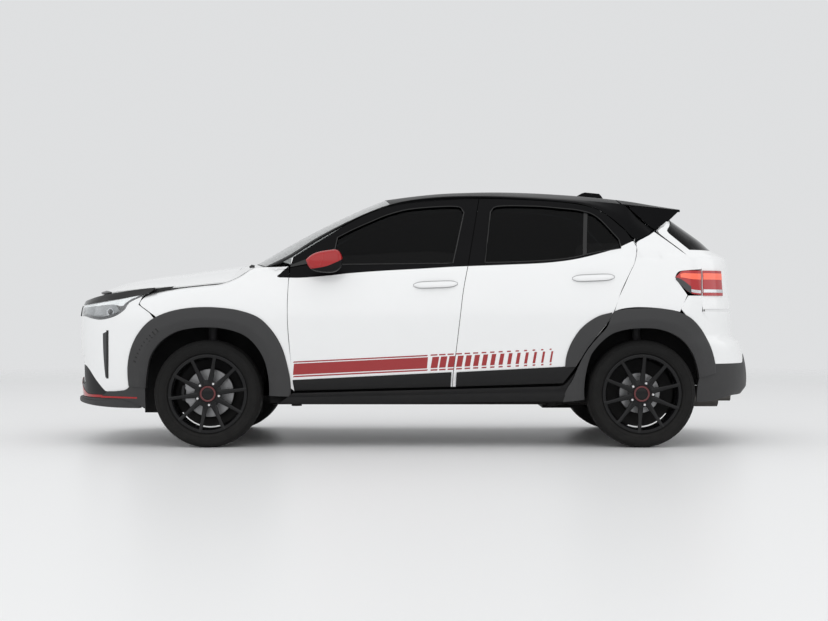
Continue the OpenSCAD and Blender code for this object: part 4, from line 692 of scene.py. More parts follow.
def door_piece(end, side):
    net = doors[end]
    low = net[:, FINE:]
    hole = (WINDOW[0], WINDOW[1], WINDOW[2] - FINE, WINDOW[3] - FINE)
    b = Build().shell(raised(low), door_inner(drawn_in(low, 0.2 * DOOR)), hole)
    b.shell(raised(net[:, :FINE + 1]), door_inner(drawn_in(net, 0.2 * DOOR)[:, :FINE + 1]))
    where = WHERE[side]
    node = f"{end}_door_{where}"
    piece(b.on(side), f"{node}_skin", node, [two_tone], [node], bevel=2.2, tone=tone_at)
    cut = net[WINDOW[0]:WINDOW[1] + 1, WINDOW[2]:WINDOW[3] + 1]
    pane = raised(drawn_in(cut, SEAT), -FRAME / 3)
    piece(Build().slab(pane, GLASS).on(side), f"{end}_pane_{where}", node, [tint], [f"{end}_glass_{where}"])
    ring = raised(cut, 0.8)
    seal = Build()
    if end == "rear":
        bar = np.array([[on_side((x + lean, y), -8) for y, lean in ((258, 0), (240, 0.2), (222, 0.6), (210, 1.0))]
                        for x in (582.8, 586.6)])
        seal.slab(bar, 4)
    loop = list(ring[:, 0]) + list(ring[-1, 1:]) + list(ring[::-1, -1][1:]) + list(ring[0, ::-1][1:])
    seal.tube(loop, 3.2, 6)
    piece(seal.on(side), f"{end}_window_seal_{where}", node, [gloss], ())


DOOR_ARCH_OUT = [(565, 367.4), (566, 358), (569, 348), (574, 338), (581, 328.5), (590, 321), (600, 315.5), (612, 312.4)]
DOOR_ARCH_IN = [(575.4, 367), (578.2, 363), (581.5, 358), (587, 349), (594, 340), (601, 331), (607.5, 323),
                (612.2, 315)]
ARCH_FORM = ((0, 0.42), (0.1, 0.60), (0.34, 1.06), (0.40, 1.15), (0.46, 1.14), (0.95, 0.55), (1, 0.28))


def arch_off(share):
    """Height of an arch band above the body side, from its lip to its outer edge."""
    return PROUD * float(np.interp(share, [a for a, _ in ARCH_FORM], [b for _, b in ARCH_FORM]))


def door_cladding(end, side):
    where = WHERE[side]
    low = doors[end][:, :FINE + 1].copy()
    low[-1, :, 0] -= 9 if end == "front" else 0
    low[0, :, 0] += 0 if end == "front" else 17
    out, inn = raised(low, 0.7 * PROUD), raised(low, SEAT)
    out[:, 0, 1] += 5
    out[:, -1, 1] += 6
    b = Build().shell(out, inn)
    if end == "rear":
        edge, foot = catmull(np.array(DOOR_ARCH_OUT, float), 5), catmull(np.array(DOOR_ARCH_IN, float), 5)
        out, inn = [], []
        for p, q in zip(edge, foot):
            r = [np.hypot(*(lerp(q, p, v) - np.array([HUB_PX[1], 394.0]))) for v in (0, 1)]
            spots = [lerp(q, p, v) for v in np.linspace(0, 1, 12)]
            share = [(lerp(r[0], r[1], v) - 64) / max(r[1] - 64, 1) for v in np.linspace(0, 1, 12)]
            out.append([on_side(a, arch_off(h)) for a, h in zip(spots, share)])
            inn.append([on_side(a, SEAT) for a in spots])
        b.shell(out, inn, None, 1)
    piece(b.on(side), f"{end}_door_sill_{where}", f"{end}_door_{where}", [sill_black, clad],
          [f"{end}_door_clad_{where}"],
          bevel=2)


STRIPE_SLOPE, STRIPE_X = -0.0489, (292.9, 427.0)
BAND_ROWS = ((361.5, 362.8), (363.8, 375), (376, 377.4))
BAR_ROWS = ((361.3, 362.6), (363.8, 375), (376.2, 377.6))
BAR_N, BAR_FROM, BAR_PITCH, BAR_W, BAR_LEAN = 15, 430.5, 8.5, (6.8, 1.9), 2.0 / 11.2
SHUT_LINE_X = (453.8, 455.5)
HANDLE_BOX = {"front": (414, 457, 280.8, 288.2), "rear": (573, 614, 274, 281.4)}


def stripe_y(y, x):
    return y + STRIPE_SLOPE * (x - 292)


def film(b, x0, x1, y0, y1, lean=0.0, steps=6, up=0.9):
    """Thin film on the door between two picture columns, its top edge leaning rearward."""
    g = []
    for k in range(steps + 1):
        x = lerp(x0, x1, k / steps)
        g.append([on_side((x + lean * v, stripe_y(lerp(y1, y0, v), x)), up) for v in (0, 0.34, 0.67, 1)])
    b.slab(g, up - 0.15)


def stripe_piece(end, side):
    b = Build()
    where = WHERE[side]
    if end == "front":
        for y0, y1 in BAND_ROWS:
            film(b, *STRIPE_X, y0, y1, 1.0, 30)
    for k in range(BAR_N):
        x0 = BAR_FROM + BAR_PITCH * k
        w = lerp(*BAR_W, k / (BAR_N - 1))
        if x0 + w < SHUT_LINE_X[0] if end == "front" else x0 > SHUT_LINE_X[1]:
            for y0, y1 in BAR_ROWS:
                film(b, x0, x0 + w, y0, y1, BAR_LEAN * (y1 - y0), 2)
    piece(b.on(side), f"{end}_door_stripe_{where}", f"{end}_door_{where}", [stripe_red], ())


def handle_piece(end, side):
    """Grip bar over a thin grey plate, a little larger than the bar, that is painted shadow of the gap round the
    handle.
    """
    where = WHERE[side]
    x0, x1, y0, y1 = HANDLE_BOX[end]
    bar, rim = [], []
    for t in np.arange(23) / 22:
        mid = lerp(y0, y1, 0.5) - 1.6 * (t - 0.5)
        swell = 1 - abs(2 * t - 1) ** 6
        out = 7 + 17 * math.sin(math.pi * min(max((t - 0.02) / 0.96, 0), 1)) ** 0.45
        tall = 3.0 * (0.35 + 0.65 * swell)
        bar.append([on_side((lerp(x0, x1, t), mid - tall * math.sin(a)), out + 6 * math.cos(a) - 2)
                    for a in (2 * math.pi * k / 10 for k in range(10))])
        # The rim rows build the grey plate under the bar: painted shadow of the gap round the handle, not a modelled
        # cup.
        shadow_tall = 3.8 * (0.3 + 0.7 * swell)
        rim.append([on_side((lerp(x0 - 0.8, x1 + 0.8, t), mid + v * shadow_tall), 0.8) for v in (1, 0, -1)])
    b = Build().rings(bar, flip=True).slab(rim, 0.6, 1)
    piece(b.on(side), f"{end}_handle_{where}", f"{end}_door_{where}", [white, handle_shadow], (), angle=60)


for s in (-1, 1):
    for e in ("front", "rear"):
        door_piece(e, s)
        door_cladding(e, s)
        stripe_piece(e, s)
        handle_piece(e, s)

# ---------------------------------------------------------------- wings, quarters and roof
ARCH_R = 70.6 * PX + GAP
WING_TOP = [(152, 293), (167, 290), (184, 287.5), (202, 285.5), (221, 283.2), (238, 276.5), (252, 268), (262, 267),
            (276, 266.7), (289, 266)]
WING_ANGLES = (137, 124, 109, 94, 80, 66, 52, 34, 15, -6)
SEAM_Y, ROLL = 0.79 * HALF, 0.022 * ROOF
WING_FRONT = [(157.5, 331), (156.6, 318.6), (148, 311.2), (139.8, 304.3), (143, 298.4), (148.5, 294.6), (153.2, 292.6)]
WING_REAR = [(294.4, 391.5), (290.9, 362), (287.8, 330), (287.4, 300), (289.3, 271.8)]


def wing_column(i):
    a, last = math.radians(WING_ANGLES[i]), len(WING_ANGLES) - 1
    low = np.array([X_FRONT + ARCH_R * math.cos(a), Z_AXLE + ARCH_R * math.sin(a)])
    edge = on_side(WING_TOP[i])[[0, 2]]
    top = edge - np.array([0, ROLL])
    rise = [low + (top - low) * v for v in (0, 0.25, 0.5, 0.75, 1)]
    if i == 0:
        rise[1:] = [on_side(p)[[0, 2]] for p in WING_FRONT[:4]]
    if i == last:
        rise = [on_side(p)[[0, 2]] for p in WING_REAR]
    end = rise[-1]
    y_top = side_y(end[0], end[1])
    seam = lerp(SEAM_Y, y_top - ROLL, smooth((i - 6) / 2))
    col = [(p[0], -side_y(p[0], p[1]), p[1]) for p in rise]
    for k, b in enumerate((30, 60, 90)):
        c, s = math.cos(math.radians(b)), math.sin(math.radians(b))
        p = on_side(WING_FRONT[4 + k])[[0, 2]] if i == 0 else (lerp(edge[0], end[0], c), lerp(end[1], edge[1], s))
        col.append((p[0], -lerp(seam, y_top, c), p[1]))
    return col


wing = trimmed(refine([wing_column(i) for i in range(len(WING_ANGLES))], 6, 5, (1,)), SHUT)
piece(Build().sheet(wing, SKIN - 4).both(), "front_wings", "body", [two_tone], ["wings"], bevel=2,
      tone=tone_at)

QUARTER_LOW = [(614.5, 311.5), (622, 309), (634, 307.5), (647, 307.5), (660, 308.5), (672, 310.3), (680, 312),
               (687.4, 295.4), (675, 278), (676.5, 274), (680, 271.3), (690, 270.2), (701, 269.5)]
QUARTER_TOP = [(618, 299), (624.5, 285.5), (630, 273), (635, 262), (637.3, 250), (636.5, 243), (639.5, 240),
               (643.5, 238), (649.5, 234.8), (654, 231.5), (664, 238.5), (682, 251.5), (702, 266.5)]
quarter = side_grid([QUARTER_LOW, QUARTER_TOP], 4, 18, (4, 6, 7, 8, 9))
quarter = raised(drawn_in(quarter, SHUT))
piece(Build().slab(quarter, SKIN - 4).both(), "rear_quarters", "body", [two_tone],
      ["quarter_panels"], bevel=2, tone=tone_at)

RAIL_PX = [(266, 266.5), (290, 254.5), (310, 241.8), (330, 230.4), (350, 220.4), (370, 211.5), (390, 204.4), (410, 200),
           (440, 196.8), (470, 195.8), (500, 196), (535, 197.4), (570, 199.4), (585, 200.6), (600, 201.9), (620, 204)]
RAIL_Y = (0.80, 0.775, 0.757, 0.737, 0.717, 0.697, 0.68, 0.672, 0.668, 0.666, 0.665, 0.664, 0.663, 0.6625, 0.662, 0.662)
RAIL_LOW_PX = [(279, 264.6), (291, 257.7), (310, 245.7), (330, 233.7), (350, 222.5), (370, 213), (390, 206),
               (410, 202.2), (440, 199.6), (470, 198.6), (500, 198.8), (535, 200.3), (570, 203), (585, 205.5),
               (603, 212.3), (622, 227)]


def at_width(p, share):
    q = put(p, share * HALF)
    return np.array([q[0], -share * HALF, q[1]])


rail = [at_width(p, s) for p, s in zip(RAIL_PX, RAIL_Y)]
rail_low = [on_side(p) for p in RAIL_LOW_PX]
SCREEN_N, RAIL_N, CROWN = 6, len(rail) - 1, 2.2
roof_mid = table_curve([(st(a), ht(b)) for a, b in (
    (0.40, 0.968), (0.424, 0.976), (0.475, 0.990), (0.54, 1.0), (0.66, 1.007), (0.76, 1.004), (0.86, 0.994),
    (0.94, 0.982),
    (1.0, 0.970), (1.2, 0.952))])
ACROSS = np.linspace(-1, 1, 33)
HEADER = ht(0.03)
roof_grid = []
for i in range(SCREEN_N, RAIL_N + 1):
    e = rail[i]
    mid = roof_mid(e[0])
    roof_grid.append([(e[0] - (HEADER * (1 - s * s) if i == SCREEN_N else 0), -s * e[1],
                       lerp(mid, e[2], power(abs(s), CROWN))) for s in ACROSS])
roof_fine = trimmed(refine(roof_grid, 6, 1), SEAT / 2)
roof_build = Build().tray(roof_fine, 0.4 * FRAME)
aerial = [np.array(put(p, 0))
          for p in ((571, 199.5), (578, 195.4), (584, 192.4), (591, 191.3), (598.5, 192.3), (603, 199))]
aerial_line = catmull(np.array(aerial), 8)
fin = []
for k in range(13):
    t = k / 12
    p = aerial_line[min(int(round(t * 40)), 40)]
    top = min(p[1], roof_mid(p[0]) + ht(0.026))
    base = roof_mid(p[0]) - 6
    w = 20 * math.sin(math.pi * (0.08 + 0.86 * t)) ** 0.6
    fin.append([(p[0], w * c, lerp(base, top, s)) for c, s in
                ((-1, 0), (-0.9, 0.35), (-0.6, 0.75), (-0.25, 0.97), (0, 1), (0.25, 0.97), (0.6, 0.75), (0.9, 0.35),
                 (1, 0))])
fin = np.array(fin)
roof_build.shell(fin, fin * np.array([1, 0.2, 1]) - upward(3))
piece(roof_build, "roof_skin", "body", [black], ["roof"], bevel=1.5)

CAP_LOW = [(622, 227), (633, 237.5), (640, 238.3), (649, 234)]
CAP_TOP = [(620, 204), (627, 207.5), (638, 219), (652, 229.5)]
CAP_Y = (0.662, 0.685, 0.72, 0.755)
lows = [p + upward(GAP / 2) for p in rail_low] + [on_side(p) for p in CAP_LOW[1:]]
tops = rail + [at_width(p, s) for p, s in zip(CAP_TOP[1:], CAP_Y[1:])]
strip = refine([[a, lerp(a, b, 0.5) - inward(ht(0.006)), b] for a, b in zip(lows, tops)], 5, 4)
strip = trimmed(strip, SEAT / 2)
depth = np.linspace(0, math.pi / 2, strip.shape[1])
inner = strip + 0.4 * FRAME * np.stack([np.zeros_like(depth), np.cos(depth), -np.sin(depth)], -1)[None]
piece(Build().shell(strip, inner).both(), "roof_rails", "body", [black], ["roof_sides"], bevel=1.2)


def screen_point(i, s):
    v = i / SCREEN_N
    e, top = rail[i], rail[SCREEN_N]
    x = lerp(st(0.088), top[0] - HEADER, v)
    z = lerp(ht(0.712), roof_mid(top[0]), v) + ht(0.014) * 4 * v * (1 - v)
    return (lerp(x, e[0], s * s), -s * e[1], lerp(z, e[2], power(abs(s), CROWN)))


glass_grid = refine([[screen_point(i, s) for i in range(SCREEN_N + 1)] for s in ACROSS[::-1]], 1, 5)
glass_grid = trimmed(glass_grid, SEAT / 2)
piece(Build().tray(glass_grid, GLASS), "windscreen_pane", "body", [screen], ["windscreen"])
band = Build()
for part in (glass_grid[:4], glass_grid[-4:], glass_grid[:, :4], glass_grid[:, -3:]):
    band.tray(part - upward(GLASS + 0.4), 2)
piece(band, "windscreen_band", "body", [gloss], ())

# ---------------------------------------------------------------- bonnet, cowl and nose
bonnet_mid = table_curve([put(p, 0.28 * HALF) for p in (
    (88, 299), (97, 294.4), (106, 291), (112, 288.8), (118, 286.6), (129, 282.7), (158, 276.8), (187, 273),
    (217, 268.7), (246, 265))])
bonnet_fall = table_curve([(st(a), ht(b)) for a, b in (
    (-0.95, 0.004), (-0.8, 0.026), (-0.6, 0.042), (-0.27, 0.056), (0.04, 0.066))])
BONNET_BACK = st(0.06)


def bonnet_z(x, s):
    ridge = 5.0 * math.exp(-((abs(s) - 0.52) / 0.09) ** 2) * smooth((x - st(-0.9)) / 300)
    return bonnet_mid(x) - bonnet_fall(x) * power(abs(s), CROWN) + ridge


def bonnet_front(y):
    z = ht(0.585)
    return NOSE_FROM - (NOSE_FROM - nose_x(z) - 3.8 * SKIN - GAP) * power(
        1 - power(abs(y) / side_flat(NOSE_FROM, z), CORNER), 1 / CORNER)


def bonnet_point(t, s):
    y = s * (SEAM_Y - SHUT)
    x = lerp(bonnet_front(y), BONNET_BACK - ht(0.03) * power(abs(s), 3), t)
    return (x, y, bonnet_z(x, s))


bonnet = np.array([[bonnet_point(t, s) for s in np.linspace(-1, 1, 57)] for t in np.linspace(0, 1, 46)])
TRIM_PX = 112


def bonnet_tone(p):
    """Black front trim ahead of one picture column at the wings, bowed across the car."""
    return TRIM_PX - seen_at((p[0], -p[1] * p[1] / SEAM_Y, p[2]))[0]


piece(Build().sheet(bonnet, SKIN - 2), "bonnet_skin", "bonnet", [two_tone], ["bonnet"], bevel=2,
      tone=bonnet_tone)


def cowl_front(s):
    return np.array([BONNET_BACK + 2 * GAP - ht(0.03) * power(abs(s), 3), s * (SEAM_Y - GAP),
                     bonnet_z(BONNET_BACK, s) - ht(0.012)])


cowl_back = np.array([screen_point(0, s) for s in ACROSS]) - np.array([SEAT / 2, 0, 0])
cowl_fore = np.array([cowl_front(s) for s in ACROSS])
cowl_grid = np.array([lerp(cowl_fore, cowl_back, t) - upward(5 * math.sin(t * math.pi * 3) ** 2)
                      for t in np.linspace(0, 1, 13)])
piece(Build().tray(cowl_grid, ht(0.012)), "cowl_panel", "body", [clad], ["cowl"], bevel=1)
wing_crest = table_curve([put(p, SEAM_Y) for p in ((214, 284), (221, 283.2), (229, 280.6), (238, 276.5), (252, 268.2),
                                                        (262, 267.2), (276, 266.7), (289, 266))])
cheek_rows = []
for s in np.linspace(0.4, 1, 14):
    y = s * (SEAM_Y - SHUT)
    x0 = BONNET_BACK - ht(0.03) * power(s, 3) + 2 * SHUT
    x1 = screen_point(0, min(-y / rail[0][1], 1))[0] - 6
    row = []
    for t in np.linspace(0, 1, 12):
        x = lerp(x0, x1, t)
        top = min(bonnet_mid(x), ht(0.7115))
        row.append((x, -y, lerp(top, max(wing_crest(x), bonnet_z(BONNET_BACK, 1)), power(s, CROWN)) - 1))
    cheek_rows.append(row)
cheek_grid = np.array(cheek_rows)[::-1]
piece(Build().tray(cheek_grid, 4).both(), "cowl_cheeks", "body", [white], (), bevel=0.8)
wipers = Build()
for y0, y1 in ((-520, -60), (60, 560)):
    i0 = int(np.argmin([abs(-s * rail[0][1] - y0) for s in ACROSS]))
    root = np.array(screen_point(0, ACROSS[i0])) + np.array([6, 0, -5])
    arm = [root, root + np.array([10, 0.4 * (y1 - y0), 16]), root + np.array([22, y1 - y0, 20])]
    wipers.tube(catmull(np.array(arm), 8), 5, 8)
    wipers.tube([root - upward(16), root + upward(4)], 11, 12)
    blade = [root + np.array([16, 0.1 * (y1 - y0), 11]), root + np.array([25, 1.12 * (y1 - y0), 16])]
    wipers.tube(blade, 4, 6)
for s in (-1, 1):
    stops = [put(p, SEAM_Y - 20) for p in ((249.6, 267.4), (252, 266.2), (254.6, 266.6))]
    wipers.tube([np.array((x, s * (SEAM_Y - 20), z)) for x, z in stops], [6, 10, 8], 10)
piece(wipers, "screen_wipers", "body", [clad], ())

CELLS = 4
NOSE_COLS = (0, 0.1, 0.2, 0.32, 0.44, 0.56, 0.68, 0.8, 0.9, 1)
NOSE_N = len(NOSE_COLS) - 1
NOSE_ROWS = (0.185, 0.235, 0.29, 0.345, 0.40, 0.45)
nose_end = table_curve([(ht(a), st(b)) for a, b in (
    (0.17, -0.51), (0.28, -0.495), (0.34, -0.455), (0.40, -0.39), (0.46, -0.357), (0.494, -0.359), (0.523, -0.417),
    (0.549, -0.476), (0.575, -0.451), (0.598, -0.383), (0.615, -0.36))])
LAMP_ROWS = {
    6: table_curve([(0, 0.5), (0.2, 0.5), (0.32, 0.502), (0.44, 0.501), (0.56, 0.493), (0.68, 0.488), (0.8, 0.5005),
                    (0.9, 0.529), (0.95, 0.553), (1, 0.577)]),
    7: table_curve([(0, 0.54), (0.2, 0.541), (0.32, 0.544), (0.44, 0.546), (0.56, 0.550), (0.68, 0.5555), (0.8, 0.563),
                    (0.9, 0.571), (1, 0.584)]),
    8: table_curve([(0, 0.558), (0.2, 0.559), (0.32, 0.561), (0.44, 0.566), (0.56, 0.5755), (0.68, 0.5856),
                    (0.8, 0.594), (0.9, 0.6025), (1, 0.611)])}


def face_point(q, z, start, tip, end):
    c_end = min(max((start - end) / (start - tip), 0), 1)
    turn = abs(q) * math.acos(c_end ** (CORNER / 2))
    c, s = power(math.cos(turn), 2 / CORNER), power(math.sin(turn), 2 / CORNER)
    return (start - c * (start - tip), math.copysign(1, q) * side_flat(start, z) * s, z)


def row_height(j, q):
    """Height of a nose row at a share of the way round the corner; the upper rows bound the lamp and the brow."""
    return LAMP_ROWS[j](q) if j in LAMP_ROWS else NOSE_ROWS[j]


def round_share(cols, m):
    """Signed share of the way round the nose or tail, at a count of columns from the middle."""
    a = min(int(abs(m)), len(cols) - 2)
    return math.copysign(1, m) * lerp(cols[a], cols[a + 1], abs(m) - a)


def nose_point(k, r):
    """k runs across from right to left in columns, r up in rows; both may fall between."""
    q = -round_share(NOSE_COLS, k - NOSE_N)
    j = min(int(r), 7)
    z = ht(lerp(row_height(j, abs(q)), row_height(j + 1, abs(q)), r - j))
    return face_point(q, z, NOSE_FROM, nose_x(z), nose_end(z))


def nose_grid(ka, kb, ra, rb, nk=CELLS, nr=CELLS):
    return np.array([[nose_point(lerp(ka, kb, i / ((kb - ka) * nk)), lerp(ra, rb, j / ((rb - ra) * nr)))
                      for j in range((rb - ra) * nr + 1)] for i in range((kb - ka) * nk + 1)])


def face_sunk(g, t, start, tip_x):
    """Nose or tail grid moved in by t along its level normals."""
    out = g.copy()
    for c in out:
        for p in c:
            tip, b = tip_x(p[2]), side_flat(start, p[2])
            v = np.array([power(abs((start - p[0]) / (start - tip)), CORNER - 1) / (tip - start),
                          math.copysign(1, p[1]) * power(abs(p[1]) / b, CORNER - 1) / b])
            v /= np.linalg.norm(v)
            p[0] -= t * v[0]
            p[1] -= t * v[1]
    return out


def nose_sunk(g, t):
    return face_sunk(g, t, NOSE_FROM, nose_x)


def nose_layer(build, g, top, low, mat=0):
    """Shell between two depths behind the nose."""
    return build.shell(nose_sunk(g, top), nose_sunk(g, low), None, mat)


nose = trimmed(nose_grid(0, 2 * NOSE_N, 0, 6), SEAT / 2)
GRILLE_HOLE = ((NOSE_N - 4) * CELLS, (NOSE_N + 4) * CELLS, CELLS, 3 * CELLS)
nose_build = Build().shell(nose, nose_sunk(nose, SKIN - 4), GRILLE_HOLE)
nose_line = table_curve([(70, 362), (81, 363), (86, 365), (90, 370), (95, 378), (101, 386), (105, 390.5),
                         (108, 391.5), (128, 391.5), (170, 391.5)])
piece(nose_build, "front_bumper_skin", "body", [nose_two_tone], ["front_bumper"], bevel=2.5,
      tone=below(nose_line))

mouth = trimmed(nose_grid(NOSE_N - 4, NOSE_N + 4, 1, 3), SEAT)
grille = nose_layer(Build(), mouth, 34, 40)
for j in range(0, mouth.shape[1], 2):
    grille.tube(nose_sunk(mouth[:, j:j + 1], 22)[:, 0], 6.5, 8)
for i in range(0, mouth.shape[0], 2):
    grille.tube(nose_sunk(mouth[i:i + 1], 27)[0], 4.5, 6)
nose_layer(grille, trimmed(nose_grid(NOSE_N - 2, NOSE_N + 2, 6, 7), SEAT / 2), -8, 12)
brow = trimmed(nose_grid(0, 2 * NOSE_N, 7, 8), SEAT / 2)
grille.shell(brow, nose_sunk(brow, SKIN - 4))
# Cover plate from the brow's top edge back under the front edge of the bonnet
cover = []
for p in nose_sunk(brow, 4)[:, -1]:
    s = max(-1, min(1, p[1] / (SEAM_Y - SHUT)))
    lead = bonnet_front(s * (SEAM_Y - SHUT))
    share = max(0.06, (p[0] + 15 - lead) / (BONNET_BACK - lead))
    under = np.array(bonnet_point(share, s)) - upward(SKIN + 3)
    cover.append([lerp(p - upward(2), under, t) for t in (0, 0.5, 1)])
grille.tray(np.array(cover), 4)
BROW_TOP = [(149, 289.8), (158, 288.3), (166, 287.2), (174, 286.3)]
BROW_LOW = [(149, 293.8), (158, 292.3), (166, 290.7), (171, 288.8)]
brow_ends = np.swapaxes(np.array([[at_width(p, 0.797) for p in row] for row in (BROW_LOW, BROW_TOP)]), 0, 1)
grille.join(Build().slab(brow_ends, 4).both())
piece(grille, "grille_bars", "body", [gloss], ["grille"], bevel=1)

lamp = trimmed(nose_grid(NOSE_N + 2, 2 * NOSE_N, 6, 7, CELLS, 6), SEAT / 2)
piece(Build().shell(lamp, nose_sunk(lamp, 3)).both(), "headlamp_lenses", "body", [lens], ["headlamps"])
PLATE = 22
bowl = nose_layer(Build(), lamp[:PLATE + 1], 15, 20, 2)
nose_layer(bowl, lamp[PLATE:], 6, 10)
nose_layer(bowl, lamp[:, :2], 4, 12)
day = nose_grid(NOSE_N + 2, 2 * NOSE_N, 6, 7, CELLS, 12)
day_low = table_curve([(0, 0.70), (8, 0.75), (16, 0.79), (20, 0.72), (22, 0.58), (23.5, 0.32), (24.5, 0.28),
                       (25.5, 0.42), (27, 0.75)])


def up_column(c, v):
    """Place on a column of the lamp's face, by share of its height."""
    at = v * (len(c) - 1)
    a = min(int(at), len(c) - 2)
    return lerp(c[a], c[a + 1], at - a)


strip_day = np.array([[up_column(c, v) for v in np.linspace(day_low(i), 0.94, 6)] for i, c in enumerate(day[:28])])[1:]
nose_layer(bowl, strip_day, 3.6, 12, 1)
BEAM_R, beam_i = 24, int(0.68 * (lamp.shape[0] - 1))
beam_spot = lamp[beam_i:beam_i + 1, 2:3]
c = nose_sunk(beam_spot, 12)[0, 0]
ahead = (beam_spot - nose_sunk(beam_spot, 1))[0, 0]
ahead = ahead / np.linalg.norm(ahead)
bowl.tube([c - 6 * ahead, c + 3 * ahead], BEAM_R, 24, 4)
bowl.tube([c + 2 * ahead, c + 5 * ahead, c + 7 * ahead], [BEAM_R * v for v in (0.8, 0.62, 0.2)], 24, 3)
piece(bowl.both(), "headlamp_units", "body", [lamp_dark, led, lamp_grey, gloss, mirror_bright], (),
      bevel=0.6)

lip_z0, lip_z1 = ht(NOSE_ROWS[0]) - ht(0.026), ht(NOSE_ROWS[0]) - SEAT / 2
lip_out = nose_x(ht(0.185)) - X_NOSE
lip = []
for i in range(2 * NOSE_N * CELLS + 1):
    q = -round_share(NOSE_COLS, i / CELLS - NOSE_N)
    lip_low = lerp(lip_z0 + 16, lip_z0 - 17, smooth(abs(q)))
    col = []
    for v in (0, 0.15, 0.4, 0.62, 0.66, 0.92, 1):
        e = lip_out * (1 - abs(q)) * (1 if v < 0.65 else 0.3)
        col.append(face_point(q, lerp(lip_low, lip_z1, v), NOSE_FROM, nose_x(lip_z1) - e, st(-0.47)))
    lip.append(col)
lip = np.array(lip)
lip_build = Build().shell(lip, nose_sunk(lip, 50))
CHIN_LOW = [(100, 397), (112, 398), (124, 399.5), (136, 404), (145.5, 409)]
CHIN_TOP = [(108, 391.3), (118, 391), (127, 389), (133, 381.5), (144.6, 378)]
chin = np.swapaxes(np.array([[on_side(lerp(np.array(a), np.array(b), v), 6) for a, b in zip(CHIN_LOW, CHIN_TOP)]
                             for v in np.linspace(0, 1, 6)]), 0, 1)
lip_build.join(Build().slab(refine(chin, 4, 2), 14).both())
corner = []
for q in np.linspace(0.12, 0.985, 40):
    rise = [lerp(286, lerp(392, 301, smooth((q - 0.1) / 0.45)), v) for v in (0, 0.35, 0.7, 1)]
    corner.append([face_point(-q, z, NOSE_FROM, nose_x(z), nose_end(z)) for z in rise])
lip_build.join(nose_layer(Build(), np.array(corner), -2.0, -0.3, 1).both())
chin_film = np.array([[on_side((x, y), 7.4) for y in (lerp(397.7, 398.7, t), lerp(395.8, 397.2, t))]
                      for t, x in zip(np.linspace(0, 1, 12), np.linspace(101, 137, 12))])
lip_build.join(Build().slab(chin_film, 1.2, 1).both())
piece(lip_build, "front_lip_blade", "body", [clad, red], ["front_lip"], bevel=1)
slots = Build()
rise = np.linspace(0, 1, 14)
cheek = np.array([[on_side((lerp(102.8 + 2.6 * t * t, 107.8, u), lerp(331 + 2.5 * (1 - u), 377.5, t)), 1.2)
                   for t in rise[::-1]]
                  for u in (0, 0.35, 0.7, 1)])
slots.slab(cheek, 3, 1)
throat = np.array([[on_side((lerp(106.2, 108.4, u), lerp(330.3, 378.5, t)), 2.2) for t in rise[::-1]] for u in (0, 1)])
slots.slab(throat, 3)
piece(slots.both(), "bumper_slots", "body", [gloss, lamp_dark], (), bevel=0.6)

# ---------------------------------------------------------------- tail
TAIL_COLS = (0, 0.1, 0.22, 0.36, 0.5, 0.64, 0.78, 0.9, 1)
TAIL_N = len(TAIL_COLS) - 1
VALANCE_ROWS = (0.172, 0.20, 0.228, 0.285, 0.33, 0.351)
BUMPER_ROWS = (0.351, 0.375, 0.402, 0.425, 0.47, 0.52)
GATE_ROWS = (0.527, 0.57, 0.62, 0.67, 0.71, 0.728, 0.757, 0.80, 0.84, 0.868, 0.895, 0.91)
bumper_end = table_curve([(ht(a), X_REAR + b * TAIL_OUT) for a, b in (
    (0.17, 0.54), (0.26, 0.585), (0.319, 0.60), (0.365, 0.585), (0.411, 0.535), (0.46, 0.463), (0.497, 0.389),
    (0.522, 0.318),
    (0.587, 0.39))])
gate_end = table_curve([(ht(a), X_REAR + b * TAIL_OUT) for a, b in (
    (0.52, 0.502), (0.58, 0.502), (0.66, 0.502), (0.69, 0.494), (0.715, 0.422), (0.7516, 0.345), (0.803, 0.206),
    (0.831, 0.150),
    (0.85, 0.21), (0.88, 0.25), (0.93, 0.18))])


def spread(rows, n):
    return [lerp(rows[j], rows[j + 1], k / n) for j in range(len(rows) - 1) for k in range(n)] + [rows[-1]]


def tail_grid(rows, ends, lift=0):
    g = []
    for i in range(2 * TAIL_N * CELLS + 1):
        q = round_share(TAIL_COLS, i / CELLS - TAIL_N)
        col = []
        for h in spread(rows, CELLS):
            rise = lift * ht(0.06) * smooth((abs(q) - 0.845) / 0.02) * smooth((h - BUMPER_ROWS[2]) / 0.118)
            reach = 0.051 if h > BUMPER_ROWS[0] else 0.066
            edge = ht(0.033) * smooth((abs(q) - 0.4) / 0.12) * max(0, 1 - abs(h - BUMPER_ROWS[0]) / reach)
            tuck = ht(0.022) * smooth((0.95 - abs(q)) / 0.4) * max(0, 1 - (h - VALANCE_ROWS[0]) / 0.056)
            z = ht(h) + rise - edge + tuck
            col.append(face_point(q, z, TAIL_FROM, tail_x(z), max(ends(z), TAIL_FROM + GAP)))
        g.append(col)
    return np.array(g)


def tail_sunk(g, t):
    return face_sunk(g, t, TAIL_FROM, tail_x)


def tail_layer(build, g, top, low, mat=0):
    """Shell between two depths behind the tail."""
    return build.shell(tail_sunk(g, top), tail_sunk(g, low), None, mat)


rear = trimmed(tail_grid(BUMPER_ROWS, bumper_end, 1), SEAT / 2)
piece(Build().shell(rear, tail_sunk(rear, SKIN - 4)), "rear_bumper_skin", "body", [white], ["rear_bumper"],
      bevel=2)
valance_end = table_curve([(ht(a), X_REAR + b * TAIL_OUT) for a, b in (
    (0.17, 0.455), (0.24, 0.462), (0.29, 0.50), (0.33, 0.58), (0.351, 0.588))])
valance = trimmed(tail_grid(VALANCE_ROWS, valance_end), SEAT / 2)
valance_build = Build().shell(valance, tail_sunk(valance, SKIN - 4))
tail_layer(valance_build, valance[6 * CELLS:-6 * CELLS, 3:9], -3, 2, 1)
piece(valance_build, "rear_valance_skin", "body", [clad, gloss], ["rear_valance"], bevel=2.5)

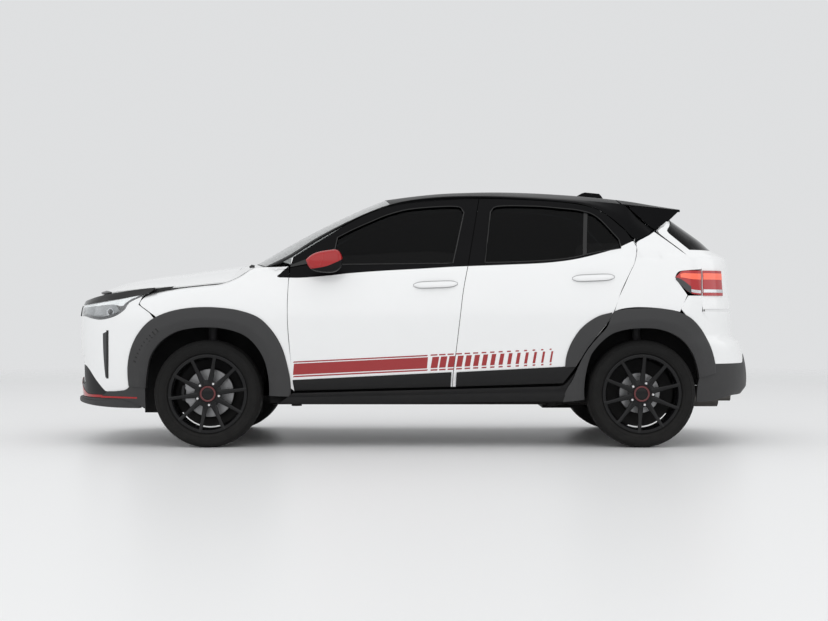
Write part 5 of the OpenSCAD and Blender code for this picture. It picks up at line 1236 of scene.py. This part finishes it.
gate = trimmed(tail_grid(GATE_ROWS, gate_end), SHUT)
GATE_HOLE = (CELLS, (2 * TAIL_N - 1) * CELLS, 6 * CELLS, 10 * CELLS)
GATE_MID = TAIL_N * CELLS
gate_thick = ht(0.03)
gate_build = Build().shell(gate, tail_sunk(gate, gate_thick), GATE_HOLE)
piece(gate_build, "tailgate_skin", "tailgate", [two_tone], ["tailgate"], bevel=1.6, tone=tone_at)
cut = trimmed(gate[GATE_HOLE[0]:GATE_HOLE[1] + 1, GATE_HOLE[2]:GATE_HOLE[3] + 1], SEAT, 8 * SEAT)
piece(tail_layer(Build(), cut, GLASS, 2 * GLASS), "tailgate_pane", "tailgate", [tint],
      ["tailgate_glass"])
gate_lamps = Build()
raised_lamp = lerp(gate[:, 4:13], gate[:, 5:14], 0.73)
for g in (raised_lamp[:12], raised_lamp[-12:]):
    g = trimmed(g, 1.2)
    tail_layer(gate_lamps, g, -7, -SEAT)
    for a, b, m in ((5, 8, 1), (1, 3, 2)):
        tail_layer(gate_lamps, g[:, a:b], -8.4, -6.5, m)
piece(gate_lamps, "gate_lamp_lenses", "tailgate", [lens_red, amber_band, mirror_bright], ["gate_lamps"],
      bevel=1)
grip = gate[GATE_MID - 8:GATE_MID + 9, 2:4]
piece(tail_layer(Build(), grip, -3.5, -0.5), "tailgate_grip", "tailgate", [gloss], (), bevel=1)


def off_gate(i, j, out):
    """Point stood off the gate's outer face."""
    return tail_sunk(gate[i:i + 1, j:j + 1], -out)[0, 0]


pivot = off_gate(GATE_MID, 26, 4)
gate_wiper = Build().tube([pivot - np.array([6, 0, 3]), pivot + np.array([20, 0, 9])], [16, 13], 16)
gate_wiper.tube([off_gate(GATE_MID + k, 27, 14) for k in (0, 5, 10, 15)], 6, 8)
piece(gate_wiper, "tailgate_wiper", "tailgate", [clad], ())

x0, w0 = rail[RAIL_N][0] + 1.6 * GAP, -rail[RAIL_N][1]
SPOILER_TIP, SPOILER_Z = st(1.42), ht(0.917)
board = []
for v in np.linspace(0, 1, 13):
    x = lerp(x0, SPOILER_TIP, v)
    e, mid = lerp(rail[RAIL_N][2], SPOILER_Z, v), roof_mid(x)
    board.append([(x - 40 * v * abs(s) ** 3, s * w0, lerp(mid, e, power(abs(s), CROWN))) for s in ACROSS])
board = np.array(board)
spoiler = Build().shell(board, board - upward(1) * np.linspace(SKIN / 2, SKIN, 13)[:, None, None])
FIN_LOW = [(630.5, 209.5), (641, 218.5), (655.5, 229.5), (668, 221.5)]
FIN_TOP = [(629.5, 206.3), (643, 207.5), (660, 209), (679, 211)]
fins = []
for lo, up, s in zip(FIN_LOW, FIN_TOP, (0.685, 0.72, 0.755, 0.73)):
    a, b = at_width(lo, s), put(up, w0 + SKIN / 2)
    fins.append([a, np.array([b[0], -w0 - SKIN / 2, b[1]])])
spoiler.join(Build().slab(refine(fins, 6, 6), 2 * SKIN).both())
top = gate[GATE_MID][-1]
for s in (-1, 1):
    y0, y1 = sorted((s * 0.38 * HALF, s * 0.32 * HALF))
    x1, x2, z1, z2 = top[0] - gate_thick * 0.9, top[0] - gate_thick / 3, top[2] + SEAT, roof_mid(top[0]) - SKIN
    box = [[(x1, y, z1), (x1, y, z2)] for y in (y1, y0)]
    spoiler.shell(box, [[(x2, p[1], p[2]) for p in c] for c in box])
piece(spoiler, "spoiler_board", "tailgate", [black], ["spoiler"], bevel=2)
piece(Build().tray(board[-2:, 12:21] + upward(0.4), 2.4), "high_stop_lamp", "tailgate", [lens_red], ())

LAMP_LOW = [(675.6, 279.4), (684.4, 288.6), (691.5, 293.4), (701, 295)]
LAMP_TOP = [(676.2, 276.3), (682.2, 271), (690.5, 270.4), (701, 270.6)]
tail_lamp = raised(drawn_in(side_grid([LAMP_LOW, LAMP_TOP], 6, 16), SEAT / 2))
smoke = np.array([[lerp(c[0], c[-1], v * lerp(0.62, 0.30, i / 12)) for v in np.linspace(0, 1, 6)]
                  for i, c in enumerate(tail_lamp[:13])])
lamp_build = Build().slab(tail_lamp, ht(0.03))
for mat, (zone, out) in enumerate(((tail_lamp[4:, 10:15], 2.2), (tail_lamp[12:, 1:4], 1.8), (smoke, 2.6)), 1):
    lamp_build.slab(zone - inward(out), out + 1, mat)
piece(lamp_build.both(), "tail_lamp_lenses", "body", [lens_red, amber_band, mirror_bright, lamp_dark], ["tail_lamps"],
      bevel=1)

# ---------------------------------------------------------------- arch cladding and sills
FRONT_ARCH = [(-2, 61, 82.6), (9, 61.8, 83.5), (20, 63.5, 84.6), (32, 66, 87.6), (44, 67.9, 90.2), (56, 69, 91.7),
              (68, 67.9, 89.4), (80, 66.7, 87.2), (92, 66.5, 86.8), (104, 67.5, 88.2), (116, 69.4, 91),
              (128, 70.4, 93.4), (138, 70.1, 92.6), (148, 68.6, 90.2), (158, 65.7, 86.8), (167, 64, 83.4),
              (175, 63.3, 80.6)]
REAR_ARCH = [(15, 60, 79, 79), (26, 62, 82, 82), (38, 64.8, 85.5, 85.5), (50, 66.9, 89, 89), (60, 67.4, 90.3, 90.3),
             (75, 66.7, 87.7, 87.7), (90, 65.6, 85.5, 85.5), (103, 66.1, 86.4, 86.4), (109.5, 66.6, 86.4, 87.2),
             (118, 67, 75.4, 88.8), (130, 65.7, 71.4, 89.3), (142, 64.3, 70, 87.4), (156, 60.5, 69.4, 83.2),
             (168, 58.4, 70.5, 79.5), (178, 57.6, 76, 79), (186, 57.4, 79, 79)]


def arch_build(hub_x, rows, breaks=()):
    """Cladding band round a wheel opening: rolled lip, broad flat, soft crease and a fine outer edge."""
    fine = catmull(np.array(rows[::-1], float), 6, breaks)
    out, inn = [], []
    for a, ri, re, full in fine:
        ri, re, full = ri * PX, re * PX, full * PX
        c, s = math.cos(math.radians(a)), math.sin(math.radians(a))

        def spot(r, off):
            x, z = hub_x + r * c, Z_AXLE + r * s
            return (x, -side_y(x, z) - off, z)
        mids = [lerp(ri + 7, re, v) for v in np.linspace(0.04, 1, 14)]
        out.append([spot(ri, -ht(0.033)), spot(ri, 0.3 * PROUD), spot(ri + 2, 0.38 * PROUD), spot(ri + 7, 0.46 * PROUD)]
                   + [spot(r, arch_off((r - ri) / (full - ri))) for r in mids])
        inn.append([spot(ri + 3, -ht(0.033)), spot(ri + 4, -4), spot(ri + 6, 4), spot(ri + 9, 4)]
                   + [spot(r, 3) for r in mids[:-1]] + [spot(re, 1)])
    return Build().shell(out, inn)


arch = arch_build(X_FRONT, [(a, i, e, e) for a, i, e in FRONT_ARCH])
arch.join(arch_build(X_REAR, REAR_ARCH, (4, 5)))
# Short ribs on the front band, ahead of the wheel
for k in range(10):
    a = math.radians(lerp(128.6, 156.2, k / 9))
    r = lerp(81, 79.1, k / 9)
    share = lerp((r - 70.2) / 23.2, (r - 66.2) / 21.2, k / 9)
    x, z = X_FRONT + r * PX * math.cos(a), Z_AXLE + r * PX * math.sin(a)
    base = np.array([x, -side_y(x, z) - arch_off(share) - 0.6, z])
    d = np.array([-math.cos(a), 0, -math.sin(a)])
    t = np.array([-math.sin(a), 0, math.cos(a)])
    g = np.array([[base + u * 4.2 * t + v * 14 * d for v in (1, -1)] for u in (1, -1)])
    arch.slab(g, 6, 1)
piece(arch.both(), "arch_bands", "body", [clad, gloss], ["arch_cladding"], bevel=0.8, angle=40)

walls = Build()
for x0, x1, y, z0, z1 in ((X_FRONT - 430, X_FRONT + 282, 0.508, 180, 640),
                          (X_REAR - 282, X_REAR + 282, 0.61, 180, 660)):
    g = np.array([[(x, -y * HALF, z) for z in np.linspace(z0, z1, 5)] for x in np.linspace(x0, x1, 5)])
    walls.slab(g, 3)
piece(walls.both(), "inner_arch_walls", "body", [chassis], ())

SKIRT_LOW = [(278, 404), (330, 404), (400, 403.5), (460, 402.5), (520, 401.5), (574, 401.5)]
SKIRT_TOP = [(293, 393.2), (330, 392.2), (400, 390.4), (460, 388.9), (520, 387.3), (560, 386.2)]
skirt = side_grid([SKIRT_LOW, SKIRT_TOP], 10, 8)
skirt_out = raised(skirt, PROUD / 2)
for j, w in enumerate((0, 3, 5, 6, 5, 3, 8, 12, 10)):
    skirt_out[:, j, 1] -= w - 4
skirt_in = skirt_out.copy()
skirt_in[:, :, 1] = -0.80 * HALF - SEAT
TOE_TOP = [(548, 387.4), (556, 386.4), (563.5, 385.2), (568.3, 381), (572.6, 375.6), (577.4, 369.6)]
TOE_LOW = [(550, 393), (559, 395.5), (568, 394), (573, 388), (576.5, 380.5), (580, 372.5)]
toe = raised(side_grid([TOE_LOW, TOE_TOP], 4, 6), 0.34 * PROUD)
skirts = Build().shell(skirt_out, skirt_in).slab(toe, 5)
piece(skirts.both(), "sill_blades", "body", [sill_black], ["sill_skirts"], bevel=2)

# ---------------------------------------------------------------- mirrors
MIRROR_Y = 1.045 * HALF
mirror_split = table_curve([(300, 269), (313, 268.4), (328, 265.6), (336, 262.2), (345, 257.5)])


def mirror_piece(side):
    where = WHERE[side]
    centre = np.array(put((323.5, 261), MIRROR_Y))
    outline = catmull(np.array([(305.5, 259.5), (311, 254.8), (318, 251.7), (330, 249.6), (337, 249.6), (341, 254),
                                (342.3, 260), (341, 267), (335, 271.8), (325, 272.6), (313, 270.5), (307.5, 265),
                                (305.5, 259.5)],
                                float), 4)[:-1]
    spokes = [np.array(put(p, MIRROR_Y)) - centre for p in outline]
    rings = []
    for v in np.linspace(-1, 1, 15):
        k = lerp(0.25, 1, (1 - abs(v) ** 2.6) ** (1 / 2.6))
        rings.append([(centre[0] + d[0] * k, -MIRROR_Y + 24 + 46 * v, centre[1] + d[1] * k) for d in spokes])
    b = Build().rings(rings, 0, 1)
    foot = raised(doors["front"][:FINE + 1, 5 * FINE + 1:6 * FINE - 1])
    b.shell(foot - inward(8.4), foot - inward(SEAT), None, 1)
    a = on_side((324, 266), 6)
    x, z = put((324, 267), MIRROR_Y)
    b.tube([a + inward(6), a - inward(20), np.array([x, -MIRROR_Y + 40, z])], [16, 13, 14], 12, 1)
    piece(b.on(side), f"mirror_housing_{where}", f"front_door_{where}", [cap_two_tone, gloss], [f"mirror_{where}"],
          angle=50, tone=below(mirror_split))


for s in (-1, 1):
    mirror_piece(s)


# ---------------------------------------------------------------- repeats by Geometry Nodes
def ring_tree():
    """Copies of one form turned about the wheel's axis."""
    tree = bpy.data.node_groups.new("wheel_ring", "GeometryNodeTree")
    for label, kind in (("Form", "Object"), ("Count", "Int"), ("Turn", "Float"), ("Finish", "Material")):
        tree.interface.new_socket(label, in_out="INPUT", socket_type=f"NodeSocket{kind}")
    tree.interface.new_socket("Geometry", in_out="OUTPUT", socket_type="NodeSocketGeometry")
    n, k = tree.nodes, tree.links.new
    gi, go = n.new("NodeGroupInput"), n.new("NodeGroupOutput")
    line = n.new("GeometryNodeMeshLine")
    k(gi.outputs["Count"], line.inputs["Count"])
    line.inputs["Offset"].default_value = (0, 0, 0)
    info = n.new("GeometryNodeObjectInfo")
    k(gi.outputs["Form"], info.inputs["Object"])
    index = n.new("GeometryNodeInputIndex")
    step = n.new("ShaderNodeMath")
    step.operation = "DIVIDE"
    step.inputs[0].default_value = 2 * math.pi
    k(gi.outputs["Count"], step.inputs[1])
    angle = n.new("ShaderNodeMath")
    angle.operation = "MULTIPLY_ADD"
    k(index.outputs["Index"], angle.inputs[0])
    k(step.outputs[0], angle.inputs[1])
    k(gi.outputs["Turn"], angle.inputs[2])
    turn = n.new("ShaderNodeCombineXYZ")
    k(angle.outputs[0], turn.inputs["Y"])
    inst = n.new("GeometryNodeInstanceOnPoints")
    k(line.outputs["Mesh"], inst.inputs["Points"])
    k(info.outputs["Geometry"], inst.inputs["Instance"])
    k(turn.outputs["Vector"], inst.inputs["Rotation"])
    real = n.new("GeometryNodeRealizeInstances")
    k(inst.outputs["Instances"], real.inputs["Geometry"])
    mat = n.new("GeometryNodeSetMaterial")
    k(real.outputs["Geometry"], mat.inputs["Geometry"])
    k(gi.outputs["Finish"], mat.inputs["Material"])
    k(mat.outputs["Geometry"], go.inputs["Geometry"])
    return tree


RING = ring_tree()


def ring_of(form, count, turn, look):
    """Points and faces, in millimetres, of a form repeated round the axle."""
    proto = into_scene("form", as_mesh("form", form))
    host = into_scene("host", bpy.data.meshes.new("host"))
    mod = host.modifiers.new("ring", "NODES")
    mod.node_group = RING
    ids = {i.name: i.identifier for i in RING.interface.items_tree if i.in_out == "INPUT"}
    mod[ids["Form"]], mod[ids["Count"]], mod[ids["Turn"]], mod[ids["Finish"]] = proto, count, turn, look
    bpy.context.view_layer.update()
    done = bpy.data.meshes.new_from_object(host.evaluated_get(bpy.context.evaluated_depsgraph_get()))
    out = ([tuple(1000 * c for c in v.co) for v in done.vertices], [list(p.vertices) for p in done.polygons])
    bpy.data.objects.remove(host)
    bpy.data.objects.remove(proto)
    bpy.data.meshes.remove(done)
    return out


# ---------------------------------------------------------------- wheels, outer face towards -Y
R, LIPW, RIMW = RIM_D / 2, 0.038 * RIM_D, 0.44 * TYRE_W
WALL = 0.014 * RIM_D


def spoke_form():
    """One thin spoke: chamfered face, waisted in the middle, swept in from the rim to the hub."""
    rows = []
    for t in np.linspace(0, 1, 13):
        r = lerp(58, R + LIPW - 6, t)
        w = lerp(17, 11, smooth(t * 1.4)) + 1.5 * smooth((t - 0.85) / 0.15)
        face_y = -RIMW + lerp(17, -2.4, smooth(t)) + 3.2 * math.sin(math.pi * t)
        back_y = face_y + lerp(34, 14, t)
        rows.append([(r, back_y, w * 0.9), (r, face_y + 7, w), (r, face_y + 1.2, w - 1.6), (r, face_y, w - 4.2),
                     (r, face_y, -w + 4.2), (r, face_y + 1.2, -w + 1.6), (r, face_y + 7, -w), (r, back_y, -w * 0.9)])
    return Build().rings(rows)


def nut_form():
    return Build().tube([(66, -RIMW + y, 0) for y in (24, 9, 6)], [9.5, 9.5, 6.5], 6)


def sipe_form():
    """Short raised bar on the tyre's shoulder."""
    line = ((301, -98.3), (308, -90.2), (312.2, -80), (313.4, -72), (313.4, -60))
    out = np.array([[(r, y, z) for z in (4.6, -4.6)] for r, y in line])
    return Build().shell(out, out - np.array([5, -3, 0]))


def wheel_builds(rotor_r, rotor_w, phase):
    rim = Build()
    prof = [(R - WALL, -RIMW + 5), (R - WALL + 3, -RIMW + 1), (R + LIPW - 7, -RIMW - 1), (R + LIPW - 2, -RIMW + 0.4),
            (R + LIPW, -RIMW + 3), (R + LIPW, -RIMW + WALL), (R + 3, -RIMW + 2 * WALL), (R, -RIMW + 3 * WALL),
            (R, RIMW - 3 * WALL), (R + 3, RIMW - 2 * WALL), (R + LIPW, RIMW - WALL), (R + LIPW, RIMW), (R - WALL, RIMW),
            (R - WALL, RIMW - 3 * WALL), (R - 2 * WALL, 10), (R - 2.2 * WALL, -RIMW + 34), (R - WALL - 2, -RIMW + 14)]
    rim.revolve(prof, 96)
    hub = [(0.2, -RIMW + 14), (26, -RIMW + 14), (44, -RIMW + 15), (48, -RIMW + 16), (50, -RIMW + 20), (74, -RIMW + 21),
           (80, -RIMW + 24), (82, -RIMW + 34), (70, 10), (57, 19), (57, 30), (0.2, 30)]
    rim.revolve(hub, 64)
    rim.add(*ring_of(spoke_form(), 10, math.radians(phase), rim_black))
    rim.add(*ring_of(nut_form(), 5, math.radians(phase + 18), bright), 1)
    cap = [(0.2, -RIMW + 9), (24, -RIMW + 9.4), (34, -RIMW + 11), (35, -RIMW + 14), (0.2, -RIMW + 14)]
    rim.revolve(cap, 48)
    ring = [(36, -RIMW + 14), (36.5, -RIMW + 9.5), (39, -RIMW + 8.2), (44.5, -RIMW + 8.8), (46.5, -RIMW + 11),
            (46.5, -RIMW + 16)]
    rim.revolve(ring, 48, 2)
    y0 = 0.09 * TYRE_W
    disc = [(60, y0), (rotor_r - 2, y0), (rotor_r, y0 + 2), (rotor_r, y0 + rotor_w - 2), (rotor_r - 2, y0 + rotor_w),
            (60, y0 + rotor_w)]
    rim.revolve(disc, 72, 3)
    tyre = Build()
    side = [(217.5, -81), (228, -87), (234, -92), (238, -101.5), (242, -104), (249, -105.4), (250, -107),
            (254, -107.2), (255.5, -106.2), (264.5, -107.4), (279, -106.6), (286, -105.2), (287, -106.3),
            (290.5, -105.4), (291.5, -103.7), (299, -98.4), (306.5, -91), (311, -83), (313, -73)]
    grooves = []
    for y in (-54, -19, 19, 54):
        grooves += [(313, y - 5.2), (306.5, y - 4), (306.5, y + 4), (313, y + 5.2)]
    inside = [(222, 76), (240, 92), (285, 97), (299, 82), (299, -82), (285, -97), (240, -92), (222, -76)]
    tyre.revolve(side + grooves + [(r, -y) for r, y in side[::-1]] + inside, 120)
    tyre.add(*ring_of(sipe_form(), 70, 0.0, rubber))
    tyre.add(*ring_of(sipe_form().mirrored(), 70, 0.045, rubber))
    return rim, tyre


for end, hub_x, rotor, phase in (("front", X_FRONT, (142, 21.5), -7), ("rear", X_REAR, (120, 47), -14)):
    rim, tyre = wheel_builds(*rotor, phase)
    for side, where in WHERE.items():
        d = (hub_x, side * TRACK / 2, Z_AXLE)
        body = f"{end}_wheel_{where}"
        piece(rim.on(side).moved(d), f"{end}_rim_{where}", body, [rim_black, bright, deep_red, steel],
              [f"rim_{end}_{where}"])
        piece(tyre.on(side).moved(d), f"{end}_tyre_{where}", body, [rubber], [f"tyre_{end}_{where}"], angle=28)


SHIELD, CALIPER_Z = [(52, 66), (150, 66), (192, 50), (198, 50), (198, 54), (150, 70), (52, 70)], (40, -30)
for side, where in WHERE.items():
    for end, hub_x, body in (("front", X_FRONT, f"knuckle_{where}"), ("rear", X_REAR, "body")):
        plate = Build().revolve(SHIELD, 48)
        for z in CALIPER_Z if end == "front" else ():
            plate.tube([(-112, 4, z), (-112, 62, z)], 34, 12, 1)
        piece(plate.on(side).moved((hub_x, side * TRACK / 2, Z_AXLE)), f"{end}_brake_shield_{where}", body,
              [chassis, steel], ())


# ---------------------------------------------------------------- cabin
def pad_build(size, channels=(), crown=0.0, power_n=4.2, nu=40, nv=28):
    """Crowned closed cushion whose sides pull in, with sewn channels along its face (+Z)."""
    def swell(v, m):
        return math.copysign(abs(v) ** m, v)
    m = 2 / power_n
    pts = []
    for i in range(nu):
        a = 2 * math.pi * i / nu
        for j in range(nv + 1):
            e = -math.pi / 2 + math.pi * j / nv
            x = swell(math.cos(e), m * 0.9) * swell(math.cos(a), m)
            y = swell(math.cos(e), m * 0.9) * swell(math.sin(a), m)
            z = swell(math.sin(e), m)
            z = z * (1 + crown * (1 - x * x) * (1 - y * y)) if z > 0 else z
            for axis, at, w in channels:
                v = x if axis == 0 else abs(y)
                if z > 0.4:
                    z -= 0.16 * math.exp(-((v - at) / w) ** 2)
            pts.append((x * size[0] / 2, y * size[1] / 2, z * size[2] / 2))
    faces = []
    for i in range(nu):
        q = (i + 1) % nu
        for j in range(nv):
            faces.append([i * (nv + 1) + j, q * (nv + 1) + j, q * (nv + 1) + j + 1, i * (nv + 1) + j + 1])
    return Build().add(pts, faces)


def tilted(b, deg, place):
    c, s = math.cos(math.radians(deg)), math.sin(math.radians(deg))
    m = Build()
    m.v = [(p[0] * c + p[2] * s + place[0], p[1] + place[1], -p[0] * s + p[2] * c + place[2]) for p in b.v]
    m.f, m.m = b.f, b.m
    return m


def seat_pieces(name, x, y, z, width, replaced):
    seat_l = ht(0.31)

    def pad(form, lean, place, part, look, stands_for=()):
        return piece(tilted(form, lean, place), f"{name}_{part}", "body", [look], stands_for, angle=70,
                     rounds=1)
    base = pad_build((seat_l * 0.98, width, 150), ((1, 0.62, 0.05), (0, -0.1, 0.04)), 0.12)
    pad(base, -6, (x + seat_l * 0.47, y, z + 160), "cushion", cloth, replaced)
    back = pad_build((560, width * 0.96, 130), ((1, 0.6, 0.05), (0, 0.1, 0.04)), 0.12)
    pad(back, -74, (x + seat_l * 1.12, y, z + 420), "back", cloth)
    for k in ((0,) if width < 700 else (-0.3, 0.3)):
        head = pad_build((150, 260, 90), (), 0.1)
        letter = "m" if k == 0 else "l" if k < 0 else "r"
        pad(head, -80, (x + seat_l * 1.36, y + k * width, z + 730), f"head_{letter}", seat_side)
    feet = Build()
    for along in (60, 380):
        for k in (-0.3, 0.3):
            feet.tube([(x + along, y + k * width, z + up) for up in (4, 110)], 16, 10)
    piece(feet, f"{name}_feet", "body", [cast], ())


for side, where in WHERE.items():
    seat_pieces(f"seat_{where}", st(0.34), side * 0.40 * HALF, ht(0.185), 0.54 * HALF, ["front_seats"])
seat_pieces("bench", st(0.68), 0.0, ht(0.255), 1.34 * HALF, ["rear_seat"])
screen_panel = Build()
p0 = np.array([st(0.2275), 0, ht(0.57)])
g = np.array([[p0 + np.array([v * -8, u * 120, v * 60]) for v in (-1, 1)] for u in (-1, 1)])
screen_panel.shell(g + np.array([14, 0, 0]), g + np.array([2, 0, 0]))
piece(screen_panel, "dash_screen", "body", [gloss], (), bevel=3)
